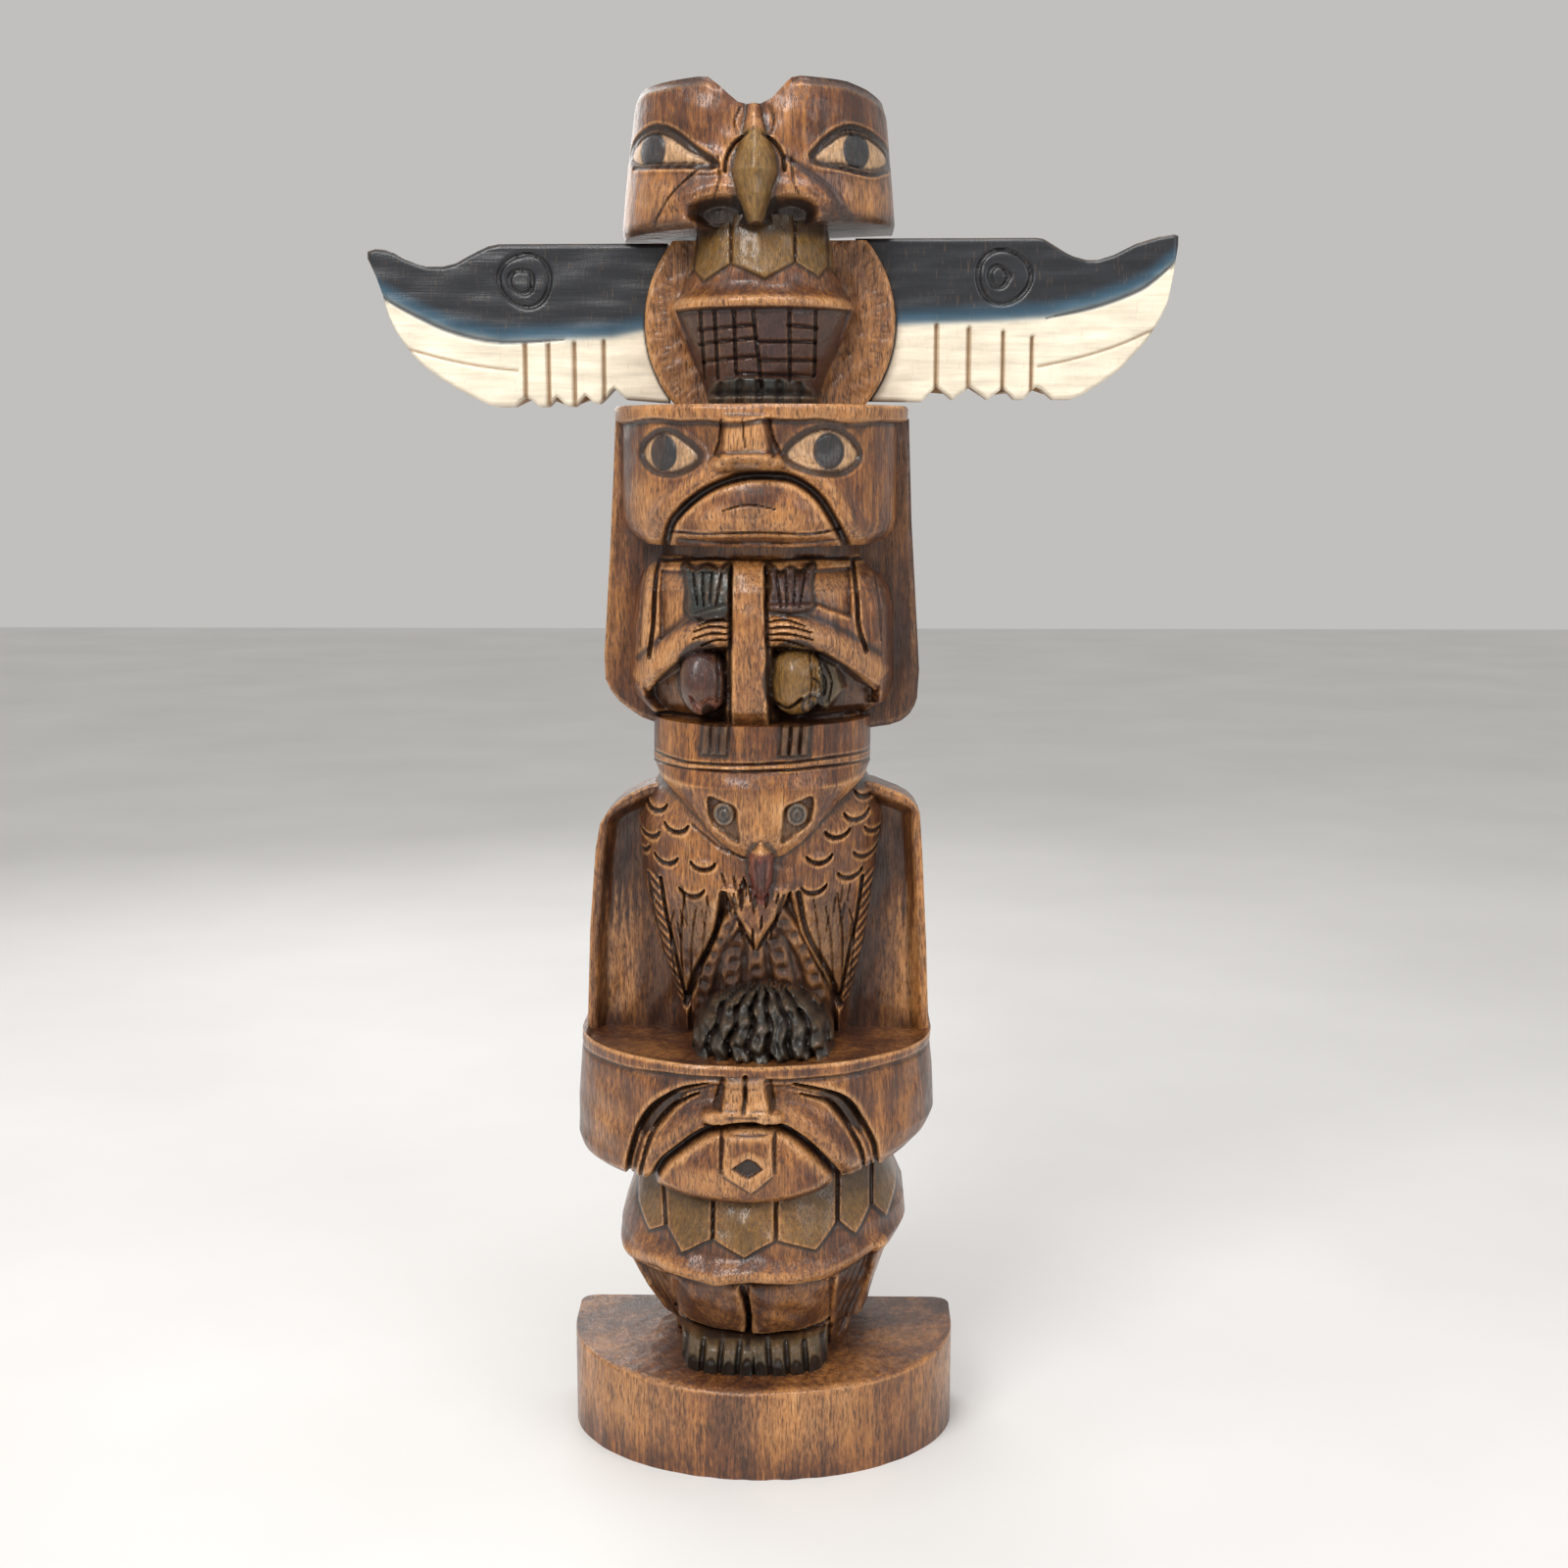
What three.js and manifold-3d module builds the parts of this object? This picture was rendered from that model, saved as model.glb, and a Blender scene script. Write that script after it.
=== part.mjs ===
// A carved wooden totem pole, about 0.8 m tall, with two painted wings set into slots in its sides.
// Units are millimetres. +Z is up, the carved face looks along -Y and the back is one flat plane.
// The origin is under the middle of the whole, wing tip to wing tip, level with the underside.
import * as THREE from "three";
import Module from "manifold-3d";
import { mergeVertices } from "three/addons/utils/BufferGeometryUtils.js";

const wasm = await Module();
wasm.setup();

// ---- driving dimensions ----
const HEIGHT = 801; // underside to the tips of the top head
const BASE_HALF = 117.5; // half the width of the base
const LOG_DEPTH = 125; // flat back to the front of the base
const BACK = LOG_DEPTH / 2; // Y of the flat back
const WING_THICK = 16;
const WING_BACK = 27; // depth of the wing's rear face, counted forward from the flat back
const SLOT_GAP = 0.3; // clearance round a wing in its slot

// Heights at which one figure ends and the next begins.
const Z = {
  baseTop: 56,
  mask: 175, // underside of the lowest face
  ledge: 249, // shelf that the bird stands on
  hatBrim: 417,
  perch: 441, // band that the fish catcher stands on
  neck: 535,
  chin: 546,
  rim: 615,
  ball: 625,
  neck2: 718, // flat top of the round body, level with the wings
  head: 722,
};

// ---- solids from three.js geometry ----
function solidOf(geometry) {
  const bare = geometry.clone();
  bare.deleteAttribute("normal");
  bare.deleteAttribute("uv");
  const merged = mergeVertices(bare, 1e-3);
  return new wasm.Manifold(
    new wasm.Mesh({
      numProp: 3,
      vertProperties: merged.attributes.position.array,
      triVerts: new Uint32Array(merged.index.array),
    }),
  );
}

const join = (solids) => solids.reduce((whole, next) => whole.add(next));

// An outline in the front view, [x, z] points, swept from one depth to another.
// Depth is counted forward from the flat back.
function panel(outline, from, to) {
  const shape = new THREE.Shape(outline.map(([x, z]) => new THREE.Vector2(x, z)));
  const geometry = new THREE.ExtrudeGeometry(shape, { depth: to - from, bevelEnabled: false });
  geometry.rotateX(Math.PI / 2);
  geometry.translate(0, BACK - from, 0);
  return solidOf(geometry);
}

// A pillar of D sections: a flat back, straight sides of depth `side`, and a curved front. Each
// ring is [z, half width], or [z, half width, its own side], from the lowest to the highest. The
// front's depth keeps one ratio to the half width, so every face between two rings is flat.
function pillar({ rings, side, ratio, segments = 12, centre = 0, power = 2 }) {
  const count = segments + 3;
  const bend = 2 / power;
  const positions = [];
  const faces = [];
  for (const [z, half, ringSide = side] of rings) {
    positions.push(centre + half, BACK, z, centre - half, BACK, z);
    for (let i = 0; i <= segments; i++) {
      const angle = (Math.PI * i) / segments;
      const across = -Math.sign(Math.cos(angle)) * Math.abs(Math.cos(angle)) ** bend;
      const forward = ringSide + half * ratio * Math.sin(angle) ** bend;
      positions.push(centre + half * across, BACK - forward, z);
    }
  }
  for (let k = 0; k + 1 < rings.length; k++) {
    for (let i = 0; i < count; i++) {
      const a = k * count + i;
      const b = k * count + ((i + 1) % count);
      faces.push(a, b, b + count, a, b + count, a + count);
    }
  }
  const top = (rings.length - 1) * count;
  for (let i = 1; i + 1 < count; i++) faces.push(0, i + 1, i, top, top + i, top + i + 1);
  const geometry = new THREE.BufferGeometry();
  geometry.setAttribute("position", new THREE.Float32BufferAttribute(positions, 3));
  geometry.setIndex(faces);
  return solidOf(geometry);
}

const grown = (figure, by) => ({
  ...figure,
  rings: figure.rings.map(([z, half, ...side]) => [z, half + by, ...side]),
});

// Relief on a pillar: an outline raised above its surface, or sunk below it, by an even amount.
const OUTER = 140; // deeper than anything on the pole
const raised = (figure, outline, by, from = 20) =>
  panel(outline, from, OUTER).intersect(pillar(grown(figure, by)));
const sunk = (figure, outline, by, from = 20) =>
  panel(outline, from, OUTER).subtract(pillar(grown(figure, -by)));

function ellipsoid([x, depth, z], [rx, ry, rz], around = 10, down = 6) {
  const geometry = new THREE.SphereGeometry(1, around, down);
  geometry.rotateX(Math.PI / 2);
  geometry.scale(rx, ry, rz);
  geometry.translate(x, BACK - depth, z);
  return solidOf(geometry);
}

// ---- outlines in the front view ----
// A stroke of a gouge: a smooth path with a width that narrows at both ends.
function stroke(points, width, steps = 8, endWidth = 0.35) {
  const curve = new THREE.SplineCurve(points.map(([x, z]) => new THREE.Vector2(x, z)));
  const left = [];
  const right = [];
  for (let i = 0; i <= steps; i++) {
    const t = i / steps;
    const at = curve.getPoint(t);
    const along = curve.getTangent(t);
    const reach = (width / 2) * (endWidth + (1 - endWidth) * Math.sin(Math.PI * t));
    left.push([at.x - along.y * reach, at.y + along.x * reach]);
    right.unshift([at.x + along.y * reach, at.y - along.x * reach]);
  }
  return [...left, ...right];
}

function oval(x, z, rx, rz, steps = 14) {
  return Array.from({ length: steps }, (_, i) => {
    const angle = (2 * Math.PI * i) / steps;
    return [x + rx * Math.cos(angle), z + rz * Math.sin(angle)];
  });
}

// An almond between two corners, with its own rise above and drop below.
function almond(x, z, half, rise, drop, steps = 4) {
  const outline = [];
  for (let i = 0; i < steps; i++) {
    const u = -1 + (2 * i) / steps;
    outline.push([x + half * u, z - drop * (1 - u * u)]);
  }
  for (let i = 0; i < steps; i++) {
    const u = 1 - (2 * i) / steps;
    outline.push([x + half * u, z + rise * (1 - u * u)]);
  }
  return outline;
}

const mirrored = (outline) => outline.map(([x, z]) => [-x, z]).reverse();

// ---- base ----
// The top slopes from the back down to the front edge.
const BASE_BACK_TOP = 62;
const BASE_FRONT_TOP = 54;

function base() {
  const side = 33;
  const slab = pillar({
    rings: [[0, BASE_HALF], [BASE_BACK_TOP + 1, BASE_HALF]],
    side,
    ratio: (LOG_DEPTH - side) / BASE_HALF,
    segments: 24,
  });
  const waste = new THREE.BoxGeometry(BASE_HALF * 3, LOG_DEPTH * 2, 60);
  waste.translate(0, 0, 30);
  waste.rotateX(Math.atan2(BASE_BACK_TOP - BASE_FRONT_TOP, LOG_DEPTH));
  waste.translate(0, 0, (BASE_BACK_TOP + BASE_FRONT_TOP) / 2);
  const corner = 9; // the back corners are rounded off
  const corners = [-1, 1].map((side) => {
    const x = side * (BASE_HALF - corner / 2);
    const block = new THREE.BoxGeometry(corner * 1.5, corner, Z.baseTop * 3);
    block.rotateZ((side * Math.PI) / 4);
    block.translate(x + side * corner * 0.95, BACK + corner * 0.2, 0);
    return solidOf(block);
  });
  return slab.subtract(join([...corners, solidOf(waste)]));
}

// ---- shelled frog that carries the lowest face ----
const FROG = {
  rings: [[Z.baseTop - 6, 56], [89, 73], [115, 88], [131, 89.5], [148, 84.5], [Z.mask + 2, 70]],
  side: 31,
  ratio: 0.98,
  centre: -2,
};

function frog() {
  const plateHeight = 3;
  const shell = [
    [[-28, 171], [9, 171], [9, 146], [-9, 136], [-28, 146]],
    [[-56, 171], [-31, 171], [-31, 147], [-47, 136], [-60, 146]],
    [[12, 171], [44, 171], [47, 153], [34, 138], [12, 146]],
    [[47, 171], [60, 171], [68, 158], [62, 145], [50, 152]],
    [[63, 171], [72, 171], [84, 157], [79, 146], [71, 157]],
    [[-60, 171], [-72, 171], [-84, 155], [-76, 142], [-63, 148]],
  ];
  const plates = shell.map((outline) => raised(FROG, outline, plateHeight));
  const lap = sunk(FROG, [[-52, 118], [0, 121], [52, 118], [46, 50], [-46, 50]], 9);
  const toeCount = 7;
  const footHalf = 41;
  const toePitch = (2 * footHalf) / toeCount;
  const toes = Array.from({ length: toeCount }, (_, i) => {
    const x = -footHalf - 4 + toePitch * (i + 0.5);
    const half = toePitch * 0.4;
    const outline = [[x - half, 50], [x + half, 50], [x + half * 0.6, 86], [x - half * 0.6, 86]];
    return raised(FROG, outline, -1.5);
  });
  const thighSplit = panel(stroke([[-8, 119], [-7, 103], [-8, 86]], 4, 2), 85, OUTER);
  const footTop = panel([[-50, 89], [42, 89], [42, 85.5], [-50, 85.5]], 88, OUTER);
  const limb = stroke([[-80, 116], [-68, 96], [-56, 68]], 13, 3, 0.6);
  const limbs = [limb, mirrored(limb)].map((outline) => raised(FROG, outline, 3));
  const body = pillar(FROG).subtract(join([lap, thighSplit, footTop]));
  return join([body, ...plates, ...toes, ...limbs]);
}

// ---- lowest face ----
const MASK = {
  rings: [[Z.mask, 104], [187, 109.5], [242, 106.5]],
  side: 28,
  ratio: 0.84,
  segments: 14,
  centre: -4.5,
};

function mask() {
  const lip = 1.5;
  const shelf = { ...MASK, rings: [[241, 106.5], [243, 108], [Z.ledge + lip, 107.5]] };
  const dish = { ...MASK, rings: [[Z.ledge, 103], [Z.ledge + 9, 103]] };
  const chinArch = [[-64, 172], [-57, 187], [-46, 199], [-30, 210], [-8, 215], [14, 211],
    [30, 200], [42, 184], [46, 172]];
  const browLeft = [[-79, 171], [-77, 190], [-70, 210], [-58, 225], [-38, 235]];
  const browRight = [[73, 171], [70, 190], [62, 210], [50, 225], [32, 234]];
  const cheek = [[-74, 170], [-71, 193], [-60, 213], [-43, 229], [-24, 235], [18, 235],
    [39, 227], [54, 212], [64, 193], [67, 170]];
  const inward = (path, by) => path.map(([x, z]) => [x - Math.sign(x) * by, z - by * 0.45]);
  const grooves = [
    stroke(chinArch, 6, 8, 0.8),
    stroke(browLeft, 4.5, 4),
    stroke(browRight, 4.5, 4),
  ];
  const nose = [[-21, 240], [6, 240], [5, 227], [13, 222], [11, 215], [2, 213], [-10, 214],
    [-20, 213], [-31, 216], [-33, 221], [-21, 227]];
  const tongue = [[-25, 207], [9, 207], [9, 187], [-7, 176], [-25, 187]];
  const lips = [[-18, 190], [-5.5, 196.5], [7, 190], [-5.5, 184]];
  let block = pillar(MASK).subtract(sunk(MASK, cheek, 2.5));
  block = block.subtract(join(grooves.map((outline) => sunk(MASK, outline, 8))));
  block = block.subtract(
    join([browLeft, browRight].map((p) => sunk(MASK, stroke(inward(p, 7), 3.4, 3), 6))),
  );
  const chin = almond(-8, 173, 52, 37, 0.5, 4);
  const chinDome = raised(MASK, chin, 0.5);
  block = join([block, chinDome, raised(MASK, tongue, 3), raised(MASK, nose, 4.5)]);
  block = block.subtract(join([
    sunk(MASK, lips, 5),
    sunk(MASK, stroke([[-8, 240], [-8, 225]], 4, 3), 1),
  ]));
  return block.add(pillar(shelf)).subtract(pillar(dish));
}

// ---- bird with folded wings, in front of a board ----
const BIRD_BOARD = [[101.5, 247], [99.5, 303], [96.5, 360], [94.5, 384], [88, 393], [74, 399.5],
  [60, 403.5], [-60, 402.5], [-76, 397.5], [-90, 388], [-98, 377], [-101.5, 361], [-105.5, 312],
  [-108, 247]];
const BIRD_BOARD_DEPTH = 35;
const BOARD_RIM = 5; // rim left standing round the scooped faces beside the bird
const BIRD = {
  rings: [[Z.ledge - 3, 50], [300, 64], [340, 73], [385, 74], [411, 60]],
  side: 15,
  ratio: 0.96,
};
const BIRD_HEAD = {
  rings: [[364, 9, 77], [368, 19, 72], [382, 36, 62], [408, 60.5, 37], [Z.hatBrim, 65, 30]],
  ratio: 1.015,
};

function bird() {
  const scoop = BIRD_BOARD.map(([x, z]) => [x - Math.sign(x) * BOARD_RIM, z - BOARD_RIM]);
  const board = panel(BIRD_BOARD, 0, BIRD_BOARD_DEPTH).subtract(panel(scoop, 25, OUTER));
  let body = pillar(BIRD);
  // Feather tips on the shoulders: [x, z] of the lowest point of each crescent cut.
  const tips = [[-62, 387], [-49, 377], [-60, 359], [-34, 357], [-41, 340], [59, 390], [45, 375],
    [62, 361], [34, 361], [46, 345]];
  const crescents = tips.map(([x, z]) =>
    sunk(BIRD, [[x - 8, z + 4], [x, z - 1], [x + 8, z + 4], [x, z + 2.5]], 3));
  const quills = [
    [[-62, 344], [-58, 310], [-51, 274]],
    [[-23, 342], [-28, 318], [-31, 292]],
    [[24, 342], [30, 318], [46, 290]],
    [[58, 344], [60, 310], [56, 274]],
  ].map((path) => sunk(BIRD, stroke(path, 3.6, 2), 4));
  body = body.subtract(join([...crescents, ...quills]));
  const shafts = [
    [[-70, 340], [-67, 315], [-60, 292]],
    [[66, 342], [66, 315], [60, 292]],
  ].map((path) => raised(BIRD, stroke(path, 7, 2, 0.6), 2));
  const belly = raised(BIRD, [[-19, 350], [17, 350], [12, 324], [-2, 309], [-15, 324]], 4);
  const tailCount = 5;
  const tail = Array.from({ length: tailCount }, (_, i) => {
    const spread = i - (tailCount - 1) / 2;
    const path = [[spread * 5.5, 316], [spread * 12, 296], [spread * 17, 268]];
    return raised(BIRD, stroke(path, 9, 2, 0.7), 7);
  });
  return join([board, body, ...shafts, belly, ...tail, birdFeet(), birdHead()]);
}

function birdFeet() {
  const mound = {
    rings: [[Z.ledge - 3, 41], [264, 39], [277, 29]],
    side: 72,
    ratio: 0.87,
    segments: 10,
    centre: 1,
    power: 2.6,
  };
  const cuts = [-29, -18, -7, 4, 15, 26].map((x) =>
    sunk(mound, [[x - 1.2, 246], [x + 1.2, 246], [x + 0.9, 272], [x - 0.9, 272]], 6, 60));
  return pillar(mound).subtract(join(cuts));
}

function birdHead() {
  const eyeX = 21;
  const eyeZ = 392.6;
  const socket = [[eyeX - 8, eyeZ - 14], [eyeX + 6, eyeZ - 7], [eyeX + 8.5, eyeZ + 9],
    [eyeX - 5, eyeZ + 6]];
  const sockets = [socket, mirrored(socket)].map((outline) => sunk(BIRD_HEAD, outline, 3));
  const balls = [-eyeX, eyeX].map((x) =>
    raised(BIRD_HEAD, oval(x, eyeZ, 4.6, 5, 8), -0.4));
  const beak = pillar({
    rings: [[338, 2], [345, 4.5], [357, 6.5], [366, 7], [375, 5]],
    side: 82,
    ratio: 3,
    segments: 6,
    centre: 0.5,
    power: 1.6,
  });
  return join([pillar(BIRD_HEAD).subtract(join(sockets)), ...balls, beak]);
}

// ---- round perch with two scored lines, and the catcher's feet ----
function perch() {
  const line = 1.6;
  const half = 65;
  const scored = half - line;
  const band = {
    rings: [[Z.hatBrim - 2, 63], [Z.hatBrim, half], [418.5, scored], [420, half], [422, half],
      [423.5, scored], [425, half], [Z.perch + 2, half]],
    side: 30,
    ratio: 1.015,
  };
  const toes = [-31, -26, -21, 14, 20, 26].map((x) => {
    const outline = [[x - 2, 427], [x + 2, 427], [x + 2.2, 441], [x - 2.2, 441]];
    return raised(band, outline, 2.5);
  });
  return join([pillar(band), ...toes]);
}

// ---- catcher: a figure that holds two fish, in front of a board ----
const CATCHER_BOARD = [[86, 620], [88, 560], [93.5, 470], [92.5, 455], [87, 442], [76, 437],
  [62, 435], [-60, 437], [-72, 442], [-86, 452], [-94, 464], [-94.5, 480], [-90, 545],
  [-86, 620]];
const CATCHER_BOARD_DEPTH = 35;
const CATCHER = {
  rings: [[439, 60], [452, 73.5], [476, 79.5], [520, 75], [Z.neck, 63]],
  side: 28,
  ratio: 0.91,
};

function catcher() {
  const board = panel(CATCHER_BOARD, 0, CATCHER_BOARD_DEPTH);
  const neck = pillar({ rings: [[Z.neck - 3, 58], [Z.chin + 3, 60]], side: 28, ratio: 1 });
  const armpitLeft = [[-68, 461], [-52, 478], [-36, 487], [-16, 489], [-16, 442], [-50, 442],
    [-62, 449]];
  const armpitRight = [[69, 460], [52, 477], [30, 489], [6, 489], [6, 442], [50, 442], [62, 449]];
  const chestLeft = [[-60, 534], [-16, 535], [-16, 506], [-34, 503], [-52, 491], [-66, 474],
    [-64, 500]];
  const chestRight = [[4, 535], [51, 534], [52, 500], [48, 492], [30, 503], [4, 506]];
  const hollows = [
    sunk(CATCHER, armpitLeft, 22, 30),
    sunk(CATCHER, armpitRight, 22, 30),
    sunk(CATCHER, chestLeft, 4, 30),
    sunk(CATCHER, chestRight, 4, 30),
    sunk(CATCHER, stroke([[53, 534], [56, 515], [55, 497]], 3, 2), 5, 30),
    sunk(CATCHER, stroke([[-61, 532], [-66, 505], [-70, 472]], 3, 2), 5, 30),
  ];
  const fingers = [495.5, 502].flatMap((z) => [
    sunk(CATCHER, stroke([[-36, z - 1], [-17, z]], 2, 1, 1), 3, 30),
    sunk(CATCHER, stroke([[7, z], [24, z - 1]], 2, 1, 1), 3, 30),
  ]);
  const body = pillar(CATCHER).subtract(join([...hollows, ...fingers]));
  const tailLeft = [[-44, 535], [-30, 531], [-17, 535], [-19, 506], [-40, 506]];
  const tailRight = [[4, 535], [17, 531], [31, 535], [29, 510], [7, 508]];
  const tails = [tailLeft, tailRight].map((outline) => raised(CATCHER, outline, 1, 40));
  const fishHeads = [
    ellipsoid([-32, 78, 468], [14, 19, 21]),
    ellipsoid([20, 79, 468], [16, 20, 21]),
  ];
  const fin = panel([[33, 476], [43, 464], [34, 455]], 70, 86);
  const mouths = [
    panel([[-37, 444], [-31, 459], [-25, 444]], 84, OUTER),
    panel([[17, 444], [21, 457], [30, 444]], 85, OUTER),
  ];
  return join([board, neck, body, ...tails, ...fishHeads, fin]).subtract(join(mouths));
}

// ---- catcher's face, under a flat brim ----
const FACE = {
  rings: [[Z.chin, 71], [557, 79.5], [Z.rim + 1, 79.5]],
  side: 28,
  ratio: 0.97,
  segments: 14,
};

// An eye: a sunk almond, with the ball and its round iris standing up in it.
function eye(figure, { x, z, half, rise, drop, iris }) {
  const lid = 3.2;
  const socket = sunk(figure, almond(x, z, half + lid, rise + lid, drop + lid), 2.6);
  const ball = raised(figure, almond(x, z, half, rise, drop), -0.6);
  const disc = panel(oval(...iris), 30, OUTER)
    .intersect(panel(almond(x, z, half, rise, drop), 30, OUTER))
    .intersect(pillar(grown(figure, 0.7)));
  return { socket, ball: ball.add(disc) };
}

function face() {
  const eyes = [
    { x: -50.5, z: 597.5, half: 16, rise: 11, drop: 9.5, iris: [-54, 598.5, 8.6, 10.6, 7] },
    { x: 35.5, z: 597, half: 19, rise: 14, drop: 9, iris: [38.8, 598.8, 8.8, 10.8, 7] },
  ].map((size) => eye(FACE, size));
  const mouth = stroke([[-54, 545], [-47, 563], [-32, 577], [-14, 585], [2, 586], [18, 584],
    [33, 575], [43, 561], [50, 545]], 7, 9, 0.9);
  const lowerLip = stroke([[-46, 551], [-4, 549], [41, 552]], 4.5, 3, 0.6);
  const lips = almond(-5.5, 566, 14, 3.4, 3.4, 3);
  const nose = [[-20, 615], [6, 615], [8, 600], [13, 596], [12, 589.5], [-5, 586.5], [-24, 589],
    [-26, 595], [-21, 600]];
  const nostrils = [[-26, 596], [13, 597], [12, 589.5], [-5, 586.5], [-24, 589]];
  const brow = stroke([[-22, 614], [-25, 603], [-27, 596]], 3, 2);
  let block = pillar(FACE).subtract(
    join([...eyes.map((e) => e.socket), sunk(FACE, mouth, 7), sunk(FACE, brow, 4)]),
  );
  block = join([
    block,
    ...eyes.map((e) => e.ball),
    raised(FACE, nose, 4),
    raised(FACE, nostrils, 7.5),
    raised(FACE, lowerLip, 2),
    raised(FACE, lips, 1.8),
  ]);
  block = block.subtract(sunk(FACE, stroke([[-7, 613], [-7, 600]], 2.5, 1, 1), 0.5));
  const brim = pillar({
    ...FACE,
    rings: [[Z.rim - 1, 83], [Z.rim + 2, 85.8], [Z.ball - 2, 85.8], [Z.ball, 84]],
    ratio: 0.945,
  });
  return block.add(brim);
}

// ---- winged bird's round body, with breast plates and a scaled apron ----
const BALL = { x: 5, z: 672, radius: 72, depth: 50 };
const BREAST = {
  rings: [[Z.ball - 3, 31], [678, 53.5], [684, 51], [Z.head + 6, 36.5]],
  side: 62,
  ratio: 0.8,
  segments: 10,
  centre: 1,
};

function roundBody() {
  const { x, z, radius, depth } = BALL;
  const disc = panel(oval(x, z, radius, radius, 26), 0, depth);
  const trim = [[-90, Z.ball - 2], [90, Z.ball - 2], [90, Z.neck2], [-90, Z.neck2]];
  const apron = [[-47, 677], [51, 677], [36, 630], [-30, 630]];
  let body = disc.intersect(panel(trim, 0, OUTER));
  body = body.add(pillar(BREAST).subtract(sunk(BREAST, apron, 6, 60)));
  const tiles = raised(BREAST, [[-34, 679], [44, 679], [35, 641], [-28, 641]], -3.5, 60);
  const rows = [667.5, 659, 650.5].map((row) =>
    panel([[-40, row], [46, row + 1], [46, row - 0.6], [-40, row - 1.6]], 70, OUTER));
  const columns = [
    [[-24, 679], [-22, 641]],
    [[-13.5, 679], [-12, 641]],
    [[-3, 679], [2, 641]],
    [[17, 679], [16, 641]],
    [[31, 679], [29, 641]],
  ].map(([[x0, z0], [x1, z1]]) =>
    panel([[x0 - 1, z0], [x0 + 1, z0], [x1 + 1, z1], [x1 - 1, z1]], 70, OUTER));
  body = body.add(tiles.subtract(join([...rows, ...columns])));
  const clawCount = 6;
  const claws = Array.from({ length: clawCount }, (_, i) => {
    const clawX = -30 + (66 * (i + 0.5)) / clawCount;
    const outline = [[clawX - 4.4, 623], [clawX + 4.4, 623], [clawX + 3.4, 637], [clawX - 3, 640]];
    return raised(BREAST, outline, -1, 60);
  });
  const plates = [
    [[-15, 725], [19, 725], [19, 702], [3, 692.5], [-15, 701]],
    [[-42, 725], [-17.5, 725], [-17.5, 701], [-30, 692], [-44, 692]],
    [[21.5, 725], [40, 725], [40, 701], [35, 693.5], [21.5, 702]],
  ].map((outline) => raised(BREAST, outline, 3, 60));
  return join([body, ...plates, ...claws]);
}

// ---- top head ----
const HEAD = {
  rings: [[Z.head - 6, 79], [795, 72.6], [HEIGHT, 69.5]],
  side: 28,
  ratio: 0.97,
  segments: 14,
  centre: -1.7,
  power: 2.3,
};
const HEAD_TILT = 2.2; // degrees: the underside is cut a little higher on the right

function head() {
  const notch = panel([[-27, 803], [-20, 794], [-11, 786], [6, 786], [14, 795], [21, 803]], -5,
    OUTER);
  const waste = new THREE.BoxGeometry(300, 300, 30);
  waste.translate(0, 0, -15);
  waste.rotateY((-HEAD_TILT * Math.PI) / 180);
  waste.translate(0, 0, Z.head);
  const brow = [[-14, 790], [9, 790], [20, 768], [22, 748], [-26, 748], [-24, 768]];
  const cheekHollows = [
    ellipsoid([-21, 104, 724], [15, 20, 11]),
    ellipsoid([17, 104, 724], [13, 20, 11]),
  ];
  const eyes = [
    { x: -53, z: 761, half: 17, rise: 9.5, drop: 5, iris: [-59, 764, 7.8, 11.2, 7] },
    { x: 51, z: 760, half: 18, rise: 10, drop: 6, iris: [53.7, 764, 7.6, 11.2, 7] },
  ].map((size) => eye(HEAD, size));
  const scores = [
    stroke([[-36, 750], [-46, 740], [-58, 723]], 4, 3),
    stroke([[17, 757], [38, 743], [48, 728]], 5, 3),
  ].map((outline) => sunk(HEAD, outline, 2.5));
  const skull = pillar(HEAD).subtract(
    join([notch, solidOf(waste), sunk(HEAD, brow, 4), ...cheekHollows, ...eyes.map((e) => e.socket),
      ...scores]),
  );
  const beak = pillar({
    rings: [[717.5, 1.5], [724, 5.5], [736, 9.5], [749, 12], [760, 10.5], [769, 7], [785, 5.5]],
    side: 101,
    ratio: 1.6,
    segments: 8,
    centre: -2,
    power: 1.7,
  });
  return join([skull, ...eyes.map((e) => e.ball), beak]);
}

// ---- wings ----
// Each wing is set out from the pole's middle line outwards: `crown` is the wavy top of its tip,
// `keel` the sweep under it, and the notches part the feather tips along the bottom.
const WING_ROOT = 52; // hidden end, inside the slot
const WINGS = {
  left_wing: {
    side: -1,
    low: 625.2,
    high: 717.2,
    crown: [[152, 717.2], [170, 709.8], [188, 704.3], [205, 708.5], [218, 714], [227.5, 713]],
    keel: [[226.5, 709], [218, 682], [207.5, 660.5], [194, 646], [175, 633.5], [156, 625.2]],
    notch: 137.3,
    pitch: 15.3,
    eye: [137, 696.5],
    groove: [[143, 645], [175, 650], [205, 657.5]],
  },
  right_wing: {
    side: 1,
    low: 628.2,
    high: 719.8,
    crown: [[158, 719.8], [171, 713], [187, 707.4], [203, 710.5], [220, 718.5], [238.5, 721]],
    keel: [[239.2, 714], [233.7, 684], [222.5, 662.5], [207.5, 646], [191, 635], [170, 628.2]],
    notch: 157.5,
    pitch: 18.6,
    eye: [138.5, 698.5],
    groove: [[161, 647.5], [195, 655], [227, 669]],
  },
};

const curveThrough = (points, steps) =>
  new THREE.SplineCurve(points.map(([x, z]) => new THREE.Vector2(x, z)))
    .getPoints(steps)
    .map((point) => [point.x, point.y]);

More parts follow.
